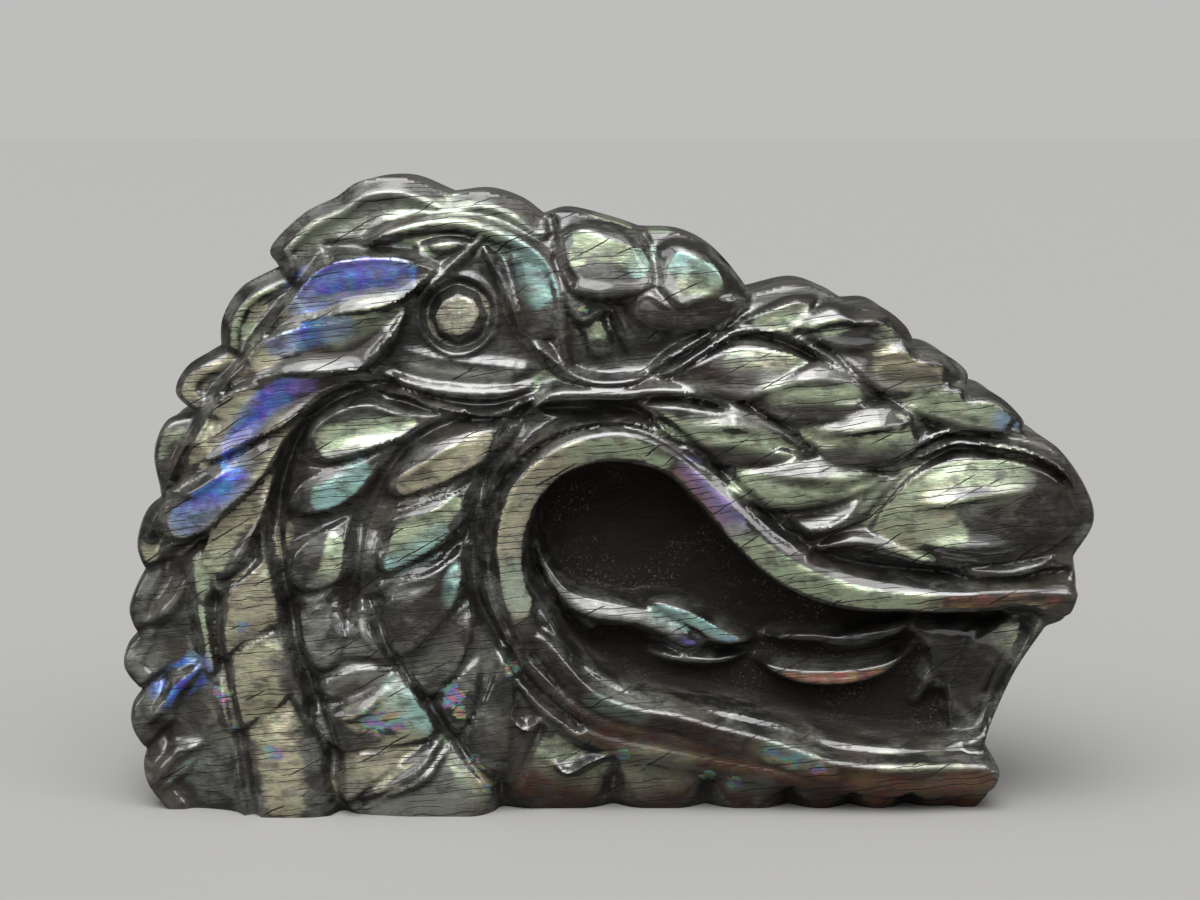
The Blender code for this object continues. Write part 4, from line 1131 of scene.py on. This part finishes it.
class StudioSettings(bpy.types.PropertyGroup):
    """The floor, the lights and the camera."""

    lens: FloatProperty(name="Lens", description="Focal length", default=70.0, unit="CAMERA")
    camera_distance: FloatProperty(
        name="Camera distance", description="From the camera to the stone", default=0.73, unit="LENGTH"
    )
    camera_rise: FloatProperty(
        name="Camera rise", description="How far it looks down", default=math.radians(8), subtype="ANGLE"
    )
    overhead: FloatProperty(name="Overhead", description="Strength of the lights above", default=8.0, min=0)
    side: FloatProperty(name="Sides", description="Strength of the light on each side", default=0.5, min=0)
    surround: FloatProperty(name="Surround", description="Brightness of the surround", default=0.09, min=0)
    backdrop: FloatProperty(name="Backdrop", description="Brightness behind the stone", default=0.52, min=0)


class DRAGON_OT_carve(bpy.types.Operator):
    """Carve the dragon's head from its slab"""

    bl_idname = "dragon.carve"
    bl_label = "Carve the dragon"

    def execute(self, context):
        sizes = context.scene.dragon_sizes
        colours = {name: np.array(getattr(context.scene.dragon_colours, name)) for name in FLASHES_AND_PAINTED_LIGHT}
        rim = rim_line()
        front = cut_sheet("dragon", rim, sizes.front_step / MM, 1.0, -1, colours)
        back = cut_sheet("dragon back", rim, sizes.back_step / MM, sizes.back_relief, 1, colours)
        stone = join_sides(front, back)
        fit_to_box(stone)
        select_only(stone)
        bpy.ops.object.shade_smooth_by_angle(angle=SMOOTH_ANGLE)
        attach(stone, "root")
        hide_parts(NODE)
        return {"FINISHED"}


class DRAGON_OT_polish(bpy.types.Operator):
    """Give the stone its polish and its flashes, with their painted sheen, highlights and shade"""

    bl_idname = "dragon.polish"
    bl_label = "Polish the stone"

    def execute(self, context):
        stone_colours = [name for name in StoneColours.__annotations__ if name not in FLASHES_AND_PAINTED_LIGHT]
        colours = {name: (*getattr(context.scene.dragon_colours, name), 1) for name in stone_colours}
        bpy.data.objects["dragon"].data.materials.append(labradorite(colours))
        return {"FINISHED"}


def softbox(name, strength, azimuth, elevation, breadth):
    """A broad, distant, round light, sized by the angle it fills."""
    around, up = math.radians(azimuth), math.radians(elevation)
    away = Vector((math.sin(around) * math.cos(up), -math.cos(around) * math.cos(up), math.sin(up)))
    lamp = bpy.data.lights.new(name, "SUN")
    lamp.energy = strength
    lamp.angle = math.radians(breadth)
    light = bpy.data.objects.new(name, lamp)
    light.location = away
    light.rotation_euler = away.to_track_quat("Z", "Y").to_euler()
    bpy.context.scene.collection.objects.link(light)


def lay_floor():
    """A sheet of pale paper, darker in the stone's reflections so that the polished edges don't wash out."""
    bpy.ops.object.select_all(action="DESELECT")
    bpy.ops.mesh.primitive_circle_add(vertices=64, radius=FLOOR_RADIUS, fill_type="NGON", location=(0, 0, 0))
    floor = bpy.context.active_object
    floor.name = "floor"
    paper = bpy.data.materials.new("pale paper")
    paper.use_nodes = True
    bench = NodeBench(paper.node_tree)
    reflected = bench.add("LightPath", output="Is Glossy Ray")
    tone = bench.mix(reflected, PAPER, PAPER_REFLECTED)
    bench.fill(paper.node_tree.nodes["Principled BSDF"], {"Roughness": 0.8, "Base Color": tone})
    floor.data.materials.append(paper)


class DRAGON_OT_studio(bpy.types.Operator):
    """Set out the floor, the lights and the camera"""

    bl_idname = "dragon.studio"
    bl_label = "Set out the studio"

    def execute(self, context):
        settings = context.scene.dragon_studio
        lay_floor()
        for strength, lights in ((settings.overhead, LIGHTS_ABOVE), (settings.side, LIGHTS_BESIDE)):
            for name, share, *placed in lights:
                softbox(name, strength * share, *placed)

        world = bpy.data.worlds.new("studio")
        world.use_nodes = True
        bench = NodeBench(world.node_tree)
        seen = bench.add("LightPath", output="Is Camera Ray")
        strength = bench.times_plus(seen, settings.backdrop - settings.surround, settings.surround)
        bench.fill(world.node_tree.nodes["Background"], {"Color": (1, 0.99, 0.98, 1), "Strength": strength})
        context.scene.world = world

        rise = settings.camera_rise
        view = bpy.data.cameras.new("camera")
        view.lens = settings.lens
        camera = bpy.data.objects.new("camera", view)
        away = settings.camera_distance * Vector((0, -math.cos(rise), math.sin(rise)))
        camera.location = Vector(CAMERA_AIM) * MM + away
        camera.rotation_euler = (math.pi / 2 - rise, 0, 0)
        context.scene.collection.objects.link(camera)
        context.scene.camera = camera
        context.scene.view_settings.view_transform = "Standard"
        return {"FINISHED"}


class DRAGON_PT_carving(bpy.types.Panel):
    """Steps of the carving"""

    bl_idname = "DRAGON_PT_carving"
    bl_label = "Labradorite dragon"
    bl_space_type = "VIEW_3D"
    bl_region_type = "UI"
    bl_category = "Dragon"

    def draw(self, context):
        layout = self.layout
        for group in (context.scene.dragon_sizes, context.scene.dragon_colours, context.scene.dragon_studio):
            for name in group.__annotations__:
                layout.prop(group, name)
        for step in STEPS:
            layout.operator(step.bl_idname)


STEPS = (DRAGON_OT_carve, DRAGON_OT_polish, DRAGON_OT_studio)
CLASSES = (StoneColours, CarvingSizes, StudioSettings, *STEPS, DRAGON_PT_carving)


def register():
    for item in CLASSES:
        bpy.utils.register_class(item)
    bpy.types.Scene.dragon_colours = PointerProperty(type=StoneColours)
    bpy.types.Scene.dragon_sizes = PointerProperty(type=CarvingSizes)
    bpy.types.Scene.dragon_studio = PointerProperty(type=StudioSettings)


def unregister():
    del bpy.types.Scene.dragon_colours
    del bpy.types.Scene.dragon_sizes
    del bpy.types.Scene.dragon_studio
    for item in reversed(CLASSES):
        bpy.utils.unregister_class(item)


def main():
    register()
    bpy.ops.dragon.carve()
    bpy.ops.dragon.polish()
    bpy.ops.dragon.studio()


if __name__ == "__main__":
    main()
